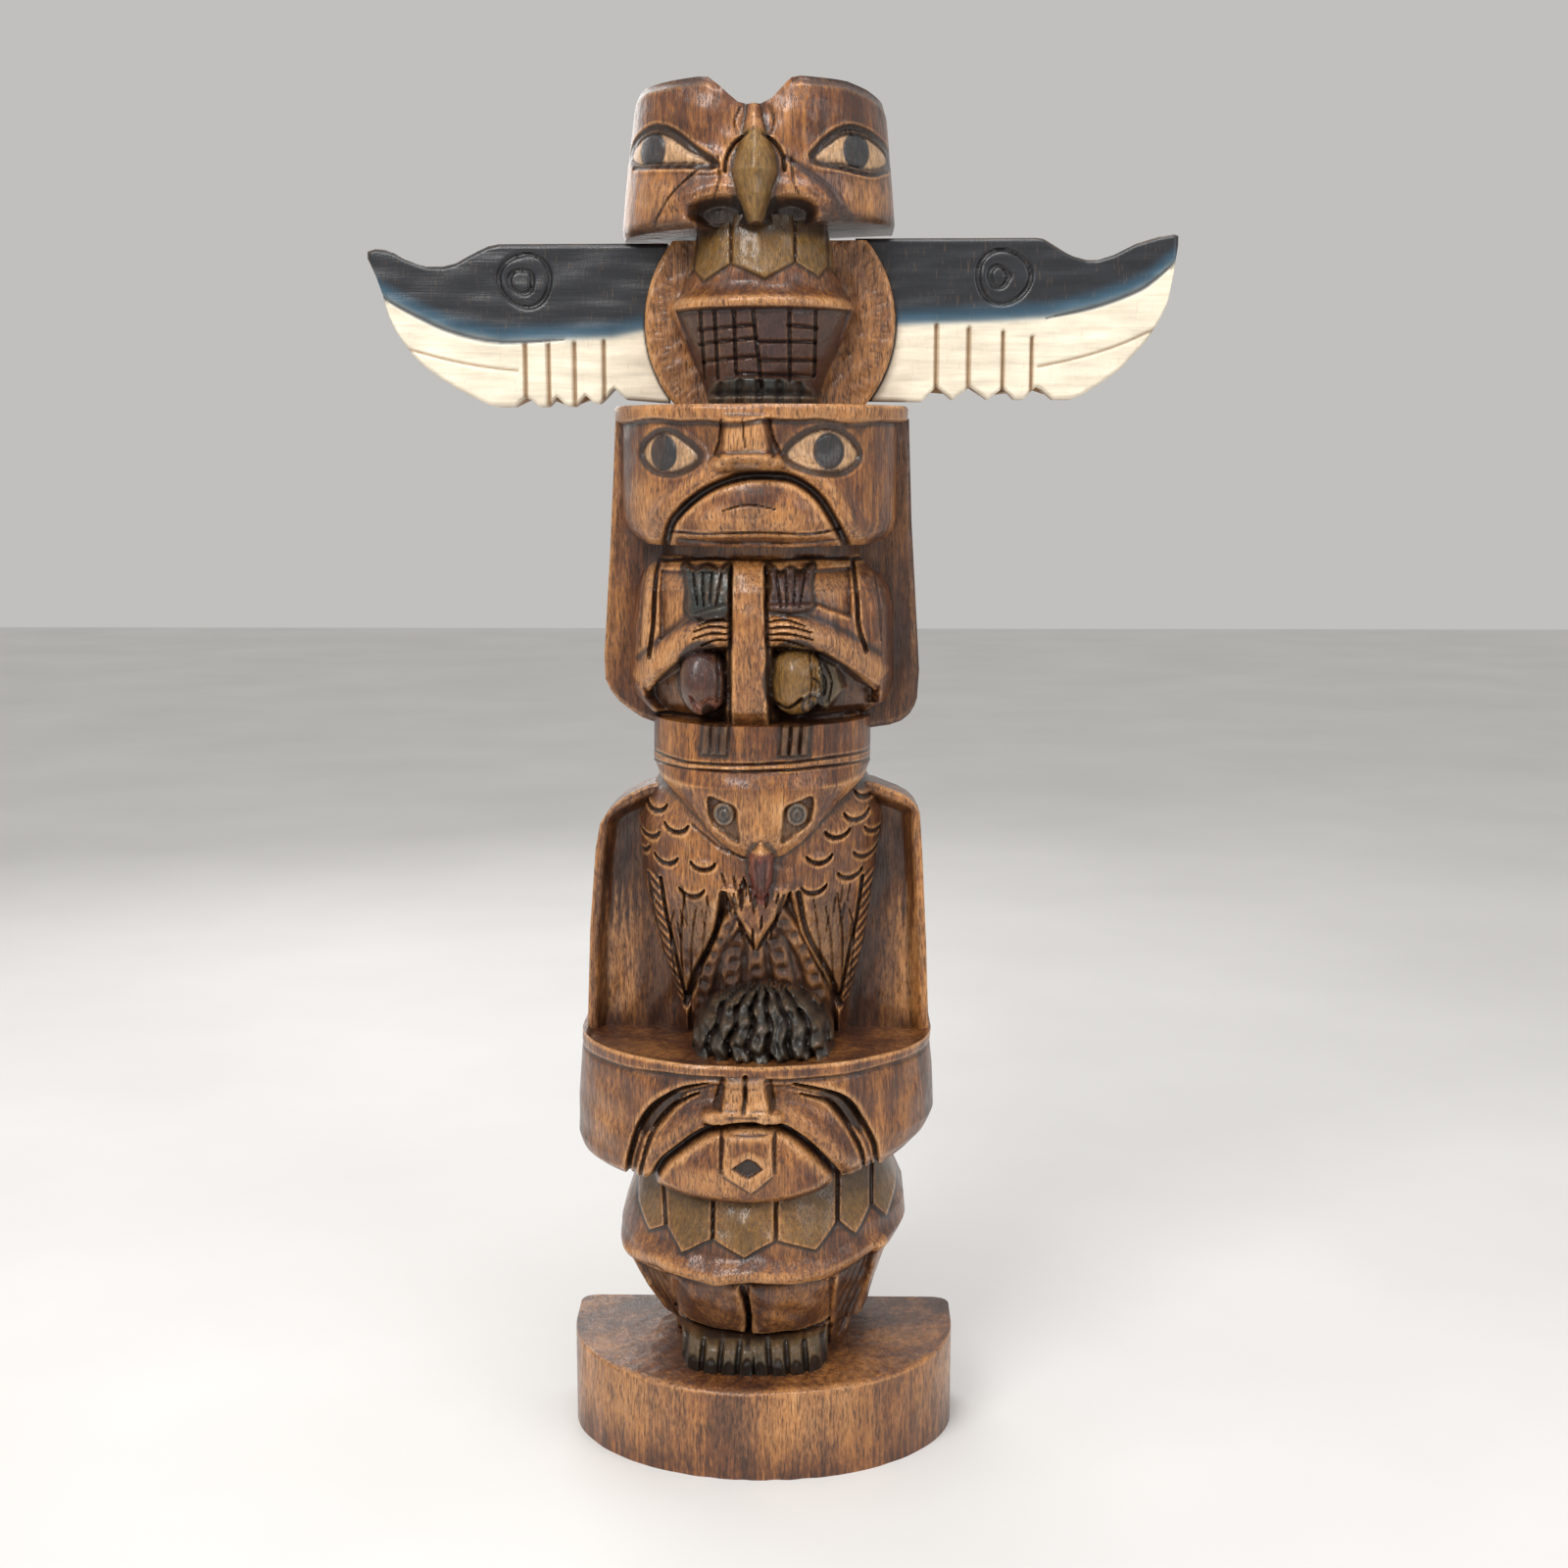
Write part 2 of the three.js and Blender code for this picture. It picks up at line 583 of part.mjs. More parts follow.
function wing({ side, low, high, crown, keel, notch, pitch, eye: [eyeX, eyeZ], groove }) {
  const notchCount = 4;
  const notchHeight = 7.5;
  const notches = Array.from({ length: notchCount }, (_, i) => notch - i * pitch);
  const feathers = notches.flatMap((x) => [
    [x + 5, low],
    [x, low + notchHeight],
    [x - 5, low],
  ]);
  const outline = [
    [WING_ROOT, low], [WING_ROOT, high], ...curveThrough(crown, 7), ...curveThrough(keel, 6),
    ...feathers,
  ];
  const front = WING_BACK + WING_THICK;
  const ring = (outer, inner) =>
    panel(oval(eyeX, eyeZ, outer, outer, 10), front - 1.5, OUTER)
      .subtract(panel(oval(eyeX, eyeZ, inner, inner, 10), 0, OUTER));
  const cuts = [
    ring(16.5, 14.2),
    ring(7, 5),
    ...notches.map((x) =>
      panel(stroke([[x, low + notchHeight - 1], [x, 663]], 3, 1, 1), front - 2, OUTER)),
    panel(stroke(groove, 4, 3), front - 1.6, OUTER),
  ];
  const solid = panel(outline, WING_BACK, front).subtract(join(cuts));
  return side > 0 ? solid : solid.mirror([1, 0, 0]);
}

// A slot takes the end of each wing with an even gap.
function slots() {
  const depthFrom = WING_BACK - SLOT_GAP;
  const depthTo = WING_BACK + WING_THICK + SLOT_GAP;
  const root = WING_ROOT - SLOT_GAP;
  return join(Object.values(WINGS).map(({ side, low }) => {
    const slot = [[root, low - SLOT_GAP], [99, low - SLOT_GAP], [99, 721], [root, 721]];
    return panel(side > 0 ? slot : mirrored(slot), depthFrom, depthTo);
  }));
}

// ---- named meshes ----
// The wings reach further on the right than on the left, so everything moves over by half of the
// difference to put the origin under the middle of the whole.
const SHIFT = -(239.2 - 227.5) / 2;

function meshOf(name, solid, color, roughness) {
  const { numProp, vertProperties, triVerts } = solid.getMesh();
  const positions = new Float32Array((vertProperties.length / numProp) * 3);
  for (let i = 0; i < positions.length / 3; i++) {
    positions.set(vertProperties.subarray(i * numProp, i * numProp + 3), i * 3);
  }
  const geometry = new THREE.BufferGeometry();
  geometry.setAttribute("position", new THREE.BufferAttribute(positions, 3));
  geometry.setIndex(new THREE.BufferAttribute(triVerts, 1));
  geometry.translate(SHIFT, 0, 0);
  const material = new THREE.MeshStandardMaterial({ color, roughness, metalness: 0 });
  const mesh = new THREE.Mesh(geometry, material);
  mesh.name = name;
  return mesh;
}

const log = join([base(), frog(), mask(), bird(), perch(), catcher(), face(), roundBody(), head()]);
const pole = log.subtract(slots());

const totem = new THREE.Group();
totem.add(meshOf("pole", pole, 0x7a4a28, 0.4));
for (const [name, sizes] of Object.entries(WINGS)) {
  totem.add(meshOf(name, wing(sizes), 0x2a3442, 0.45));
}

export default totem;
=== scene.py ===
# Carved totem pole: seven carved figures that stand for the pole, and two painted wings.
# Lengths in the dictionaries are millimetres. x runs right from the pole's axis, z up from its underside,
# and depth runs forward from the flat back.
import bpy
import numpy as np
import math
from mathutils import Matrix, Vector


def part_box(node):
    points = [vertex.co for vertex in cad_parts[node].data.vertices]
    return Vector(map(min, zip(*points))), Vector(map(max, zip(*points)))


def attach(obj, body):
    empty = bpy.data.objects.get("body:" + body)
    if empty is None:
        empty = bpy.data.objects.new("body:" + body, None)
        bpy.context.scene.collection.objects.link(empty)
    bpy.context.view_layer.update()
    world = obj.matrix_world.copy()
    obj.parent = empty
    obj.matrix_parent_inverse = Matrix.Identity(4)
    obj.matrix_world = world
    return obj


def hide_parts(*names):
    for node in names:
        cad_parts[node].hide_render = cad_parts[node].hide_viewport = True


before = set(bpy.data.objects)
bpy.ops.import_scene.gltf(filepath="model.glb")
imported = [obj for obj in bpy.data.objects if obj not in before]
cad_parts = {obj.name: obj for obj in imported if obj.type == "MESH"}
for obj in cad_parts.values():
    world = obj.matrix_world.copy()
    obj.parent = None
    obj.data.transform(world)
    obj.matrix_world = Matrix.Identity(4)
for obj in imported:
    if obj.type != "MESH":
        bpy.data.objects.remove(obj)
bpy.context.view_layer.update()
poleLow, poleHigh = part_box("pole")
axisX = (poleLow[0] + poleHigh[0]) / 2
backY = poleHigh[1]
poleTop = poleHigh[2] * 1000
print("frame loaded, pole", [round(float(h - l), 4) for l, h in zip(poleLow, poleHigh)])

# ---------- camera and light

cameraSetup = {"place": (0.0292, -1.1955, 0.5966), "tilt": 80.94, "turn": 1.04, "lens": 47.25}
lensData = bpy.data.cameras.new("view")
lensData.lens = cameraSetup["lens"]
lensData.sensor_width = 36
lensData.dof.use_dof = False
cameraObject = bpy.data.objects.new("view", lensData)
cameraObject.location = cameraSetup["place"]
cameraObject.rotation_euler = (math.radians(cameraSetup["tilt"]), 0, math.radians(cameraSetup["turn"]))
bpy.context.scene.collection.objects.link(cameraObject)
bpy.context.scene.camera = cameraObject

lightSetup = {
    "key": {"place": (-0.75, -1.35, 1.75), "size": 0.9, "power": 25, "tone": (1.0, 0.985, 0.96)},
    "fill": {"place": (1.4, -1.1, 1.0), "size": 1.0, "power": 6, "tone": (0.95, 0.97, 1.0)},
    "top": {"place": (0.1, -0.3, 1.9), "size": 0.8, "power": 10, "tone": (1.0, 1.0, 1.0)},
    "back": {"place": (-0.6, 1.4, 1.2), "size": 1.2, "power": 9, "tone": (1.0, 0.99, 0.97)},
}
aim = np.array([0.0, 0.0, 0.42])
for lampName, lamp in lightSetup.items():
    lampData = bpy.data.lights.new(lampName, "AREA")
    lampData.size = lamp["size"]
    lampData.energy = lamp["power"]
    lampData.color = lamp["tone"]
    lampObject = bpy.data.objects.new(lampName, lampData)
    lampObject.location = lamp["place"]
    away = np.array(lamp["place"]) - aim
    flat = math.hypot(away[0], away[1])
    lampObject.rotation_euler = (math.atan2(flat, away[2]), 0, math.atan2(away[0], -away[1]))
    bpy.context.scene.collection.objects.link(lampObject)

room = bpy.data.worlds.new("room")
room.use_nodes = True
room.node_tree.nodes["Background"].inputs["Color"].default_value = (0.97, 0.955, 0.93, 1)
room.node_tree.nodes["Background"].inputs["Strength"].default_value = 0.55
bpy.context.scene.world = room
bpy.context.scene.view_settings.view_transform = "Standard"
print("camera and lights placed")

# ---------- node helpers


def addNode(tree, kind, **settings):
    node = tree.nodes.new(kind)
    for key, value in settings.items():
        setattr(node, key, value)
    return node


def join(tree, source, target):
    tree.links.new(source, target)


# colour at t: straight mix between the stops either side of t
def rampNode(tree, value, stops):
    ramp = addNode(tree, "ShaderNodeValToRGB")
    while len(ramp.color_ramp.elements) < len(stops):
        ramp.color_ramp.elements.new(0.5)
    for element, (place, tone) in zip(ramp.color_ramp.elements, stops):
        element.position = place
        element.color = (*tone, 1) if isinstance(tone, tuple) else (tone, tone, tone, 1)
    join(tree, value, ramp.inputs["Fac"])
    return ramp.outputs["Color"]


# noise at (x * sx, y * sy, z * sz), so a large s squeezes the pattern along that axis
def noiseNode(tree, spot, stretch, detail=3.0, rough=0.55, offset=(0, 0, 0)):
    mapping = addNode(tree, "ShaderNodeMapping")
    mapping.inputs["Scale"].default_value = stretch
    mapping.inputs["Location"].default_value = offset
    join(tree, spot, mapping.inputs["Vector"])
    noise = addNode(tree, "ShaderNodeTexNoise")
    noise.inputs["Scale"].default_value = 1.0
    noise.inputs["Detail"].default_value = detail
    noise.inputs["Roughness"].default_value = rough
    join(tree, mapping.outputs["Vector"], noise.inputs["Vector"])
    return noise.outputs["Fac"]


# a + (b - a) * amount, or a * b weighted by amount
def mixNode(tree, amount, first, second, kind="MIX"):
    mix = addNode(tree, "ShaderNodeMix", data_type="RGBA", blend_type=kind)
    for value, socket in ((amount, mix.inputs[0]), (first, mix.inputs[6]), (second, mix.inputs[7])):
        if isinstance(value, (int, float)):
            socket.default_value = value
        elif isinstance(value, tuple):
            socket.default_value = (*value, 1)
        else:
            join(tree, value, socket)
    return mix.outputs[2]


def mathNode(tree, kind, first, second=0.0, clamp=False):
    node = addNode(tree, "ShaderNodeMath", operation=kind, use_clamp=clamp)
    for value, socket in ((first, node.inputs[0]), (second, node.inputs[1])):
        if isinstance(value, (int, float)):
            socket.default_value = value
        else:
            join(tree, value, socket)
    return node.outputs[0]


def attributeNode(tree, name, output="Fac"):
    return addNode(tree, "ShaderNodeAttribute", attribute_name=name).outputs[output]


# ---------- stained, varnished wood

woodLook = {
    "shade": (0.0115, 0.0042, 0.0022),    # stain that lies in the cuts, and painted shade in hollows and under forms
    "deep": (0.058, 0.0165, 0.0055),
    "brown": (0.165, 0.052, 0.0140),
    "gold": (0.48, 0.190, 0.044),         # where the stain was rubbed back
    "worn": (0.66, 0.345, 0.145),          # bare worn edges, also the colour of painted highlights
    "mottle": (620, 620, 190),
    "streaks": (330, 330, 26),
    "pores": (1150, 1150, 120),
    "clouds": (26, 26, 9),
    "roughness": (0.30, 0.55),
    "coat": 0.42,
}


def woodMaterial():
    material = bpy.data.materials.new("varnishedWood")
    material.use_nodes = True
    tree = material.node_tree
    shader = tree.nodes["Principled BSDF"]
    look = woodLook
    spot = addNode(tree, "ShaderNodeTexCoord").outputs["Object"]
    clouds = noiseNode(tree, spot, look["clouds"], 3, 0.6)
    streaks = noiseNode(tree, spot, look["streaks"], 4, 0.62, (3, 1, 7))
    pores = noiseNode(tree, spot, look["pores"], 2, 0.5, (11, 5, 2))
    blotch = noiseNode(tree, spot, (75, 75, 34), 4, 0.6, (1, 8, 4))
    glow = attributeNode(tree, "glow")
    dark = attributeNode(tree, "dark")
    # stain depth: clouds, streaks and mottling together, lighter where glow marks rubbed edges and painted highlights
    mottle = noiseNode(tree, spot, look["mottle"], 4, 0.65, (6, 2, 8))
    depth = mathNode(tree, "ADD", mathNode(tree, "MULTIPLY", clouds, 0.62), mathNode(tree, "MULTIPLY", streaks, 0.42))
    depth = mathNode(tree, "ADD", depth, mathNode(tree, "MULTIPLY", mottle, 0.28))
    depth = mathNode(tree, "ADD", depth, mathNode(tree, "MULTIPLY", glow, 0.16))
    base = rampNode(tree, depth, [(0.56, look["deep"]), (0.655, look["brown"]), (0.80, look["gold"]), (0.92, look["worn"])])
    base = mixNode(tree, rampNode(tree, blotch, [(0.42, 0.0), (0.70, 0.45)]), base, look["deep"])
    # rubbed wear and painted highlight: the worn colour where glow is high
    rubbedEdgeAndHighlight = mathNode(tree, "MULTIPLY", glow, rampNode(tree, mottle, [(0.36, 0.12), (0.62, 0.85)]), True)
    base = mixNode(tree, rubbedEdgeAndHighlight, base, look["worn"])
    poreLine = rampNode(tree, pores, [(0.54, 0.0), (0.66, 0.7)])
    base = mixNode(tree, poreLine, base, look["shade"])
    # paint over the stain, rubbed thin in streaks
    paint = addNode(tree, "ShaderNodeAttribute", attribute_name="paint")
    rubbed = rampNode(tree, streaks, [(0.32, 0.72), (0.5, 1.0)])
    cover = mathNode(tree, "MULTIPLY", paint.outputs["Alpha"], rubbed)
    painted = mixNode(tree, 0.8, paint.outputs["Color"], rampNode(tree, mottle, [(0.34, 0.42), (0.66, 1.5)]), "MULTIPLY")
    base = mixNode(tree, cover, base, painted)
    # stain and painted shade: the dark attribute pulls the colour to the shade brown
    base = mixNode(tree, mathNode(tree, "MULTIPLY", dark, 0.93, True), base, look["shade"])
    join(tree, base, shader.inputs["Base Color"])
    rough = addNode(tree, "ShaderNodeMapRange")
    rough.inputs["To Min"].default_value = look["roughness"][0]
    rough.inputs["To Max"].default_value = look["roughness"][1]
    join(tree, blotch, rough.inputs["Value"])
    join(tree, rough.outputs["Result"], shader.inputs["Roughness"])
    shader.inputs["Coat Weight"].default_value = look["coat"]
    shader.inputs["Coat Roughness"].default_value = 0.12
    # pores and knife facets in the height
    facets = noiseNode(tree, spot, (120, 120, 85), 1, 0.4, (5, 2, 9))
    height = mathNode(tree, "ADD", mathNode(tree, "MULTIPLY", streaks, 0.35), mathNode(tree, "MULTIPLY", facets, 1.3))
    height = mathNode(tree, "SUBTRACT", height, mathNode(tree, "MULTIPLY", poreLine, 0.35))
    bump = addNode(tree, "ShaderNodeBump")
    bump.inputs["Strength"].default_value = 0.55
    bump.inputs["Distance"].default_value = 0.0011
    join(tree, height, bump.inputs["Height"])
    join(tree, bump.outputs["Normal"], shader.inputs["Normal"])
    join(tree, bump.outputs["Normal"], shader.inputs["Coat Normal"])
    return material


# ---------- painted wing boards

wingLook = {"slate": (0.013, 0.0145, 0.019), "blue": (0.030, 0.085, 0.135), "cream": (0.86, 0.76, 0.60),
            "tan": (0.33, 0.19, 0.085), "roughness": (0.30, 0.5), "coat": 0.25}


def wingMaterial():
    material = bpy.data.materials.new("paintedWing")
    material.use_nodes = True
    tree = material.node_tree
    shader = tree.nodes["Principled BSDF"]
    look = wingLook
    spot = addNode(tree, "ShaderNodeTexCoord").outputs["Object"]
    brush = noiseNode(tree, spot, (30, 30, 420), 4, 0.6)
    fleck = noiseNode(tree, spot, (900, 900, 130), 2, 0.5, (4, 4, 1))
    blotch = noiseNode(tree, spot, (40, 40, 60), 3, 0.6, (2, 7, 3))
    paint = addNode(tree, "ShaderNodeAttribute", attribute_name="paint")
    dark = attributeNode(tree, "dark")
    glow = attributeNode(tree, "glow")
    tone = mixNode(tree, 0.5, paint.outputs["Color"], rampNode(tree, brush, [(0.3, 0.72), (0.7, 1.22)]), "MULTIPLY")
    tone = mixNode(tree, 0.6, tone, rampNode(tree, blotch, [(0.3, 0.8), (0.7, 1.12)]), "MULTIPLY")
    flecks = rampNode(tree, fleck, [(0.62, 0.0), (0.74, 0.16)])
    tone = mixNode(tree, flecks, tone, look["tan"])
    worn = mathNode(tree, "MULTIPLY", glow, rampNode(tree, blotch, [(0.45, 0.1), (0.7, 0.7)]))
    tone = mixNode(tree, worn, tone, look["tan"])
    tone = mixNode(tree, mathNode(tree, "MULTIPLY", dark, 0.85, True), tone, look["tan"])
    tone = mixNode(tree, paint.outputs["Alpha"], look["tan"], tone)
    join(tree, tone, shader.inputs["Base Color"])
    rough = addNode(tree, "ShaderNodeMapRange")
    rough.inputs["To Min"].default_value = look["roughness"][0]
    rough.inputs["To Max"].default_value = look["roughness"][1]
    join(tree, brush, rough.inputs["Value"])
    join(tree, rough.outputs["Result"], shader.inputs["Roughness"])
    shader.inputs["Coat Weight"].default_value = look["coat"]
    shader.inputs["Coat Roughness"].default_value = 0.2
    height = mathNode(tree, "ADD", brush, mathNode(tree, "MULTIPLY", fleck, 0.5))
    bump = addNode(tree, "ShaderNodeBump")
    bump.inputs["Strength"].default_value = 0.4
    bump.inputs["Distance"].default_value = 0.0006
    join(tree, height, bump.inputs["Height"])
    join(tree, bump.outputs["Normal"], shader.inputs["Normal"])
    join(tree, bump.outputs["Normal"], shader.inputs["Coat Normal"])
    return material


def floorMaterial():
    material = bpy.data.materials.new("paleFloor")
    material.use_nodes = True
    tree = material.node_tree
    shader = tree.nodes["Principled BSDF"]
    spot = addNode(tree, "ShaderNodeTexCoord").outputs["Object"]
    haze = noiseNode(tree, spot, (3, 3, 3), 3, 0.5)
    join(tree, rampNode(tree, haze, [(0.3, (0.74, 0.73, 0.72)), (0.7, (0.80, 0.79, 0.78))]), shader.inputs["Base Color"])
    shader.inputs["Roughness"].default_value = 0.6
    return material


varnishedWood = woodMaterial()
paintedWing = wingMaterial()
print("materials made")

# ---------- curves and areas on the face of a figure


# 3t^2 - 2t^3 between 0 and 1
def ease(t):
    t = np.clip(t, 0, 1)
    return t * t * (3 - 2 * t)


# the larger of a and b, with the crease between them filled over about k
def blendMax(a, b, k):
    h = np.clip(0.5 + 0.5 * (a - b) / k, 0, 1)
    return b + (a - b) * h + k * h * (1 - h)


# value at t by straight lines through a table of (t, value)
def along(t, table):
    table = np.array(sorted(table), float)
    return np.interp(t, table[:, 0], table[:, 1])


# Catmull-Rom: cubic pieces through every point, each leaving along its neighbours' chord
def smoothPath(points, steps=6, closed=False):
    p = np.array(points, float)
    p = np.vstack([p[-1], p, p[0], p[1]]) if closed else np.vstack([2 * p[0] - p[1], p, 2 * p[-1] - p[-2]])
    t = np.linspace(0, 1, steps, endpoint=False)[:, None]
    pieces = []
    for a, b, c, d in zip(p[:-3], p[1:-2], p[2:-1], p[3:]):
        pieces.append(0.5 * (2 * b + (c - a) * t + (2 * a - 5 * b + 4 * c - d) * t ** 2 + (3 * b - a - 3 * c + d) * t ** 3))
    if not closed:
        pieces.append(p[-2][None, :])
    return np.vstack(pieces)


# distance to a path of straight pieces, and how far along it (0 to 1) the nearest point is
def pathGap(x, z, path):
    path = np.asarray(path, float)
    lengths = np.hypot(*(path[1:] - path[:-1]).T)
    total = max(lengths.sum(), 1e-6)
    best = np.full(np.broadcast(x, z).shape, 1e9)
    place = np.zeros_like(best)
    done = 0.0
    for a, b, length in zip(path[:-1], path[1:], lengths):
        step = (b - a) / max(length, 1e-6)
        t = np.clip((x - a[0]) * step[0] + (z - a[1]) * step[1], 0, length)
        gap = np.hypot(x - a[0] - t * step[0], z - a[1] - t * step[1])
        nearer = gap < best
        best = np.where(nearer, gap, best)
        place = np.where(nearer, (done + t) / total, place)
        done += length
    return best, place


# distance to a closed outline, positive inside it
def insideBy(x, z, outline):
    outline = np.asarray(outline, float)
    loop = np.vstack([outline, outline[:1]])
    gap, _ = pathGap(x, z, loop)
    odd = np.zeros(gap.shape, bool)
    for a, b in zip(loop[:-1], loop[1:]):
        if a[1] != b[1]:
            spans = (a[1] > z) != (b[1] > z)
            odd ^= spans & (x < a[0] + (z - a[1]) * (b[0] - a[0]) / (b[1] - a[1]))
    return np.where(odd, gap, -gap)


# roughly the distance inside an oval: (1 - r) * smaller radius, r = 1 on the rim
def ovalBy(x, z, cx, cz, rx, rz):
    return (1 - np.hypot((x - cx) / rx, (z - cz) / rz)) * min(rx, rz)


# each cell averaged with its neighbours along both axes, again and again: a bell-shaped blur
def blurred(field, passes):
    field = field.copy()
    for _ in range(passes):
        field[1:-1] = (field[:-2] + 2 * field[1:-1] + field[2:]) / 4
        field[:, 1:-1] = (field[:, :-2] + 2 * field[:, 1:-1] + field[:, 2:]) / 4
    return field


# sum of a few crossed sine waves: low, uneven swellings left by the knife
def handCut(x, z, seed, size=22.0, height=0.35):
    dice = np.random.default_rng(seed)
    total = 0
    for _ in range(7):
        turn, phase, scale = dice.uniform(0, math.pi), dice.uniform(0, 6.28), dice.uniform(0.6, 1.5)
        total = total + np.sin((x * math.cos(turn) + z * math.sin(turn)) * 6.28 / (size * scale) + phase)
    return total * height / 2.6


# ---------- knife work: every tool changes the depth and the finish of a skin


# a round-bottomed cut: deep * ease(1 - gap / half width)
def groove(skin, points, wide, deep, stainAndShade=0.8, ends=1.0):
    gap, place = pathGap(skin["x"], skin["z"], points)
    if ends < 1.0:
        wide = wide * (ends + (1 - ends) * np.clip(np.sin(place * math.pi), 0, 1) ** 0.6)
    cut = ease(1.25 * (1 - gap / (wide / 2)))
    skin["f"] = skin["f"] - deep * cut
    # the cut is darkened: stain in it and painted shade in its hollow
    skin["dark"] = np.maximum(skin["dark"], stainAndShade * cut)
    return cut


# the area inside the edge rises (or sinks) by so much, over a wall `soft` wide
def step(skin, inside, by, soft=1.6):
    rise = ease(inside / soft + 0.5)
    skin["f"] = skin["f"] + by * rise
    return rise


# crowned area: by * sqrt(1 - (1 - d)^2), d = distance in from the edge / reach
def swell(skin, inside, by, reach):
    d = np.clip(inside / reach, 0, 1)
    skin["f"] = skin["f"] + by * np.sqrt(np.clip(1 - (1 - d) ** 2, 0, 1))


def colour(skin, inside, tone, amount=1.0, soft=0.9):
    cover = amount * ease(inside / soft + 0.5)
    old = skin["paint"]
    keep = old[..., 3] * (1 - cover)
    total = np.maximum(keep + cover, 1e-6)
    for k in range(3):
        old[..., k] = (old[..., k] * keep + tone[k] * cover) / total
    old[..., 3] = keep + cover


# darkens inside an area: stain, and painted shade where the area is a hollow or lies under or beside a raised form
def stainAndShade(skin, inside, amount, soft=2.0):
    skin["dark"] = np.maximum(skin["dark"], amount * ease(inside / soft + 0.5))


# painted highlight and rubbed wear: raises glow inside an area, lightening it towards gold
def shine(skin, inside, amount, soft=3.0):
    skin["glow"] = np.maximum(skin["glow"], amount * ease(inside / soft + 0.5))


# ---------- a carved block: a skin bent round a half-log section, closed above, below and behind

paints = {"ochre": (0.185, 0.098, 0.018), "olive": (0.070, 0.054, 0.020), "green": (0.0085, 0.0185, 0.0175),
          "maroon": (0.032, 0.0085, 0.0085), "red": (0.135, 0.021, 0.013), "black": (0.007, 0.007, 0.008),
          "pupil": (0.018, 0.020, 0.024), "bare": (0.58, 0.39, 0.225), "grey": (0.20, 0.16, 0.12)}


# x = middle + half * s with s from -1 to 1, z from sole(x) up to crown(x), and
# depth = side + arc * (1 - |s|^p)^(1/p); the knife work then changes the depth
def skinOf(spec):
    v = np.linspace(0, 1, spec["rows"] + 1)[:, None]
    t = np.linspace(-1, 1, spec["columns"] + 1)[None, :]
    fan = spec.get("fan", 1.0)
    s = (1 - fan) * t + fan * np.sin(t * math.pi / 2)
    z = spec["low"] + (spec["high"] - spec["low"]) * v + 0 * t
    for _ in range(3):
        left, right = along(z, spec["left"]), along(z, spec["right"])
        x = (left + right) / 2 + (right - left) / 2 * s
        sole = along(x, spec["sole"]) if "sole" in spec else spec["low"]
        crown = along(x, spec["crown"]) if "crown" in spec else spec["high"]
        z = sole + (crown - sole) * v + 0 * t
    power = spec.get("power", 2.0)
    side, arc = along(z, spec["side"]), along(z, spec["arc"])
    f = side + arc * np.clip(1 - np.abs(s) ** power, 0, 1) ** (1 / power)
    return {"x": x, "z": z, "s": s + 0 * z, "v": v + 0 * z, "f": f, "base": f.copy(), "sole": sole + 0 * z,
            "crown": crown + 0 * z, "dark": np.zeros_like(f), "glow": np.zeros_like(f), "paint": np.zeros((*f.shape, 4))}


# darker where the skin lies below its own blurred copy: stain in the cuts and painted shade in the hollows; edges that
# stand above it are lightened: rubbed wear and painted highlight
def settleStainAndShade(skin, wide=5, strength=1.0):
    relief = skin["f"] - skin["base"]
    for passes, reach in ((wide, 0.7), (wide * 5, 2.2)):
        lift = np.clip(relief - blurred(relief, passes), -6, 6)
        skin["dark"] = np.maximum(skin["dark"], 0.85 * strength * ease(-lift / reach - 0.12))
        skin["glow"] = np.maximum(skin["glow"], 0.9 * strength * ease(lift / reach - 0.15))


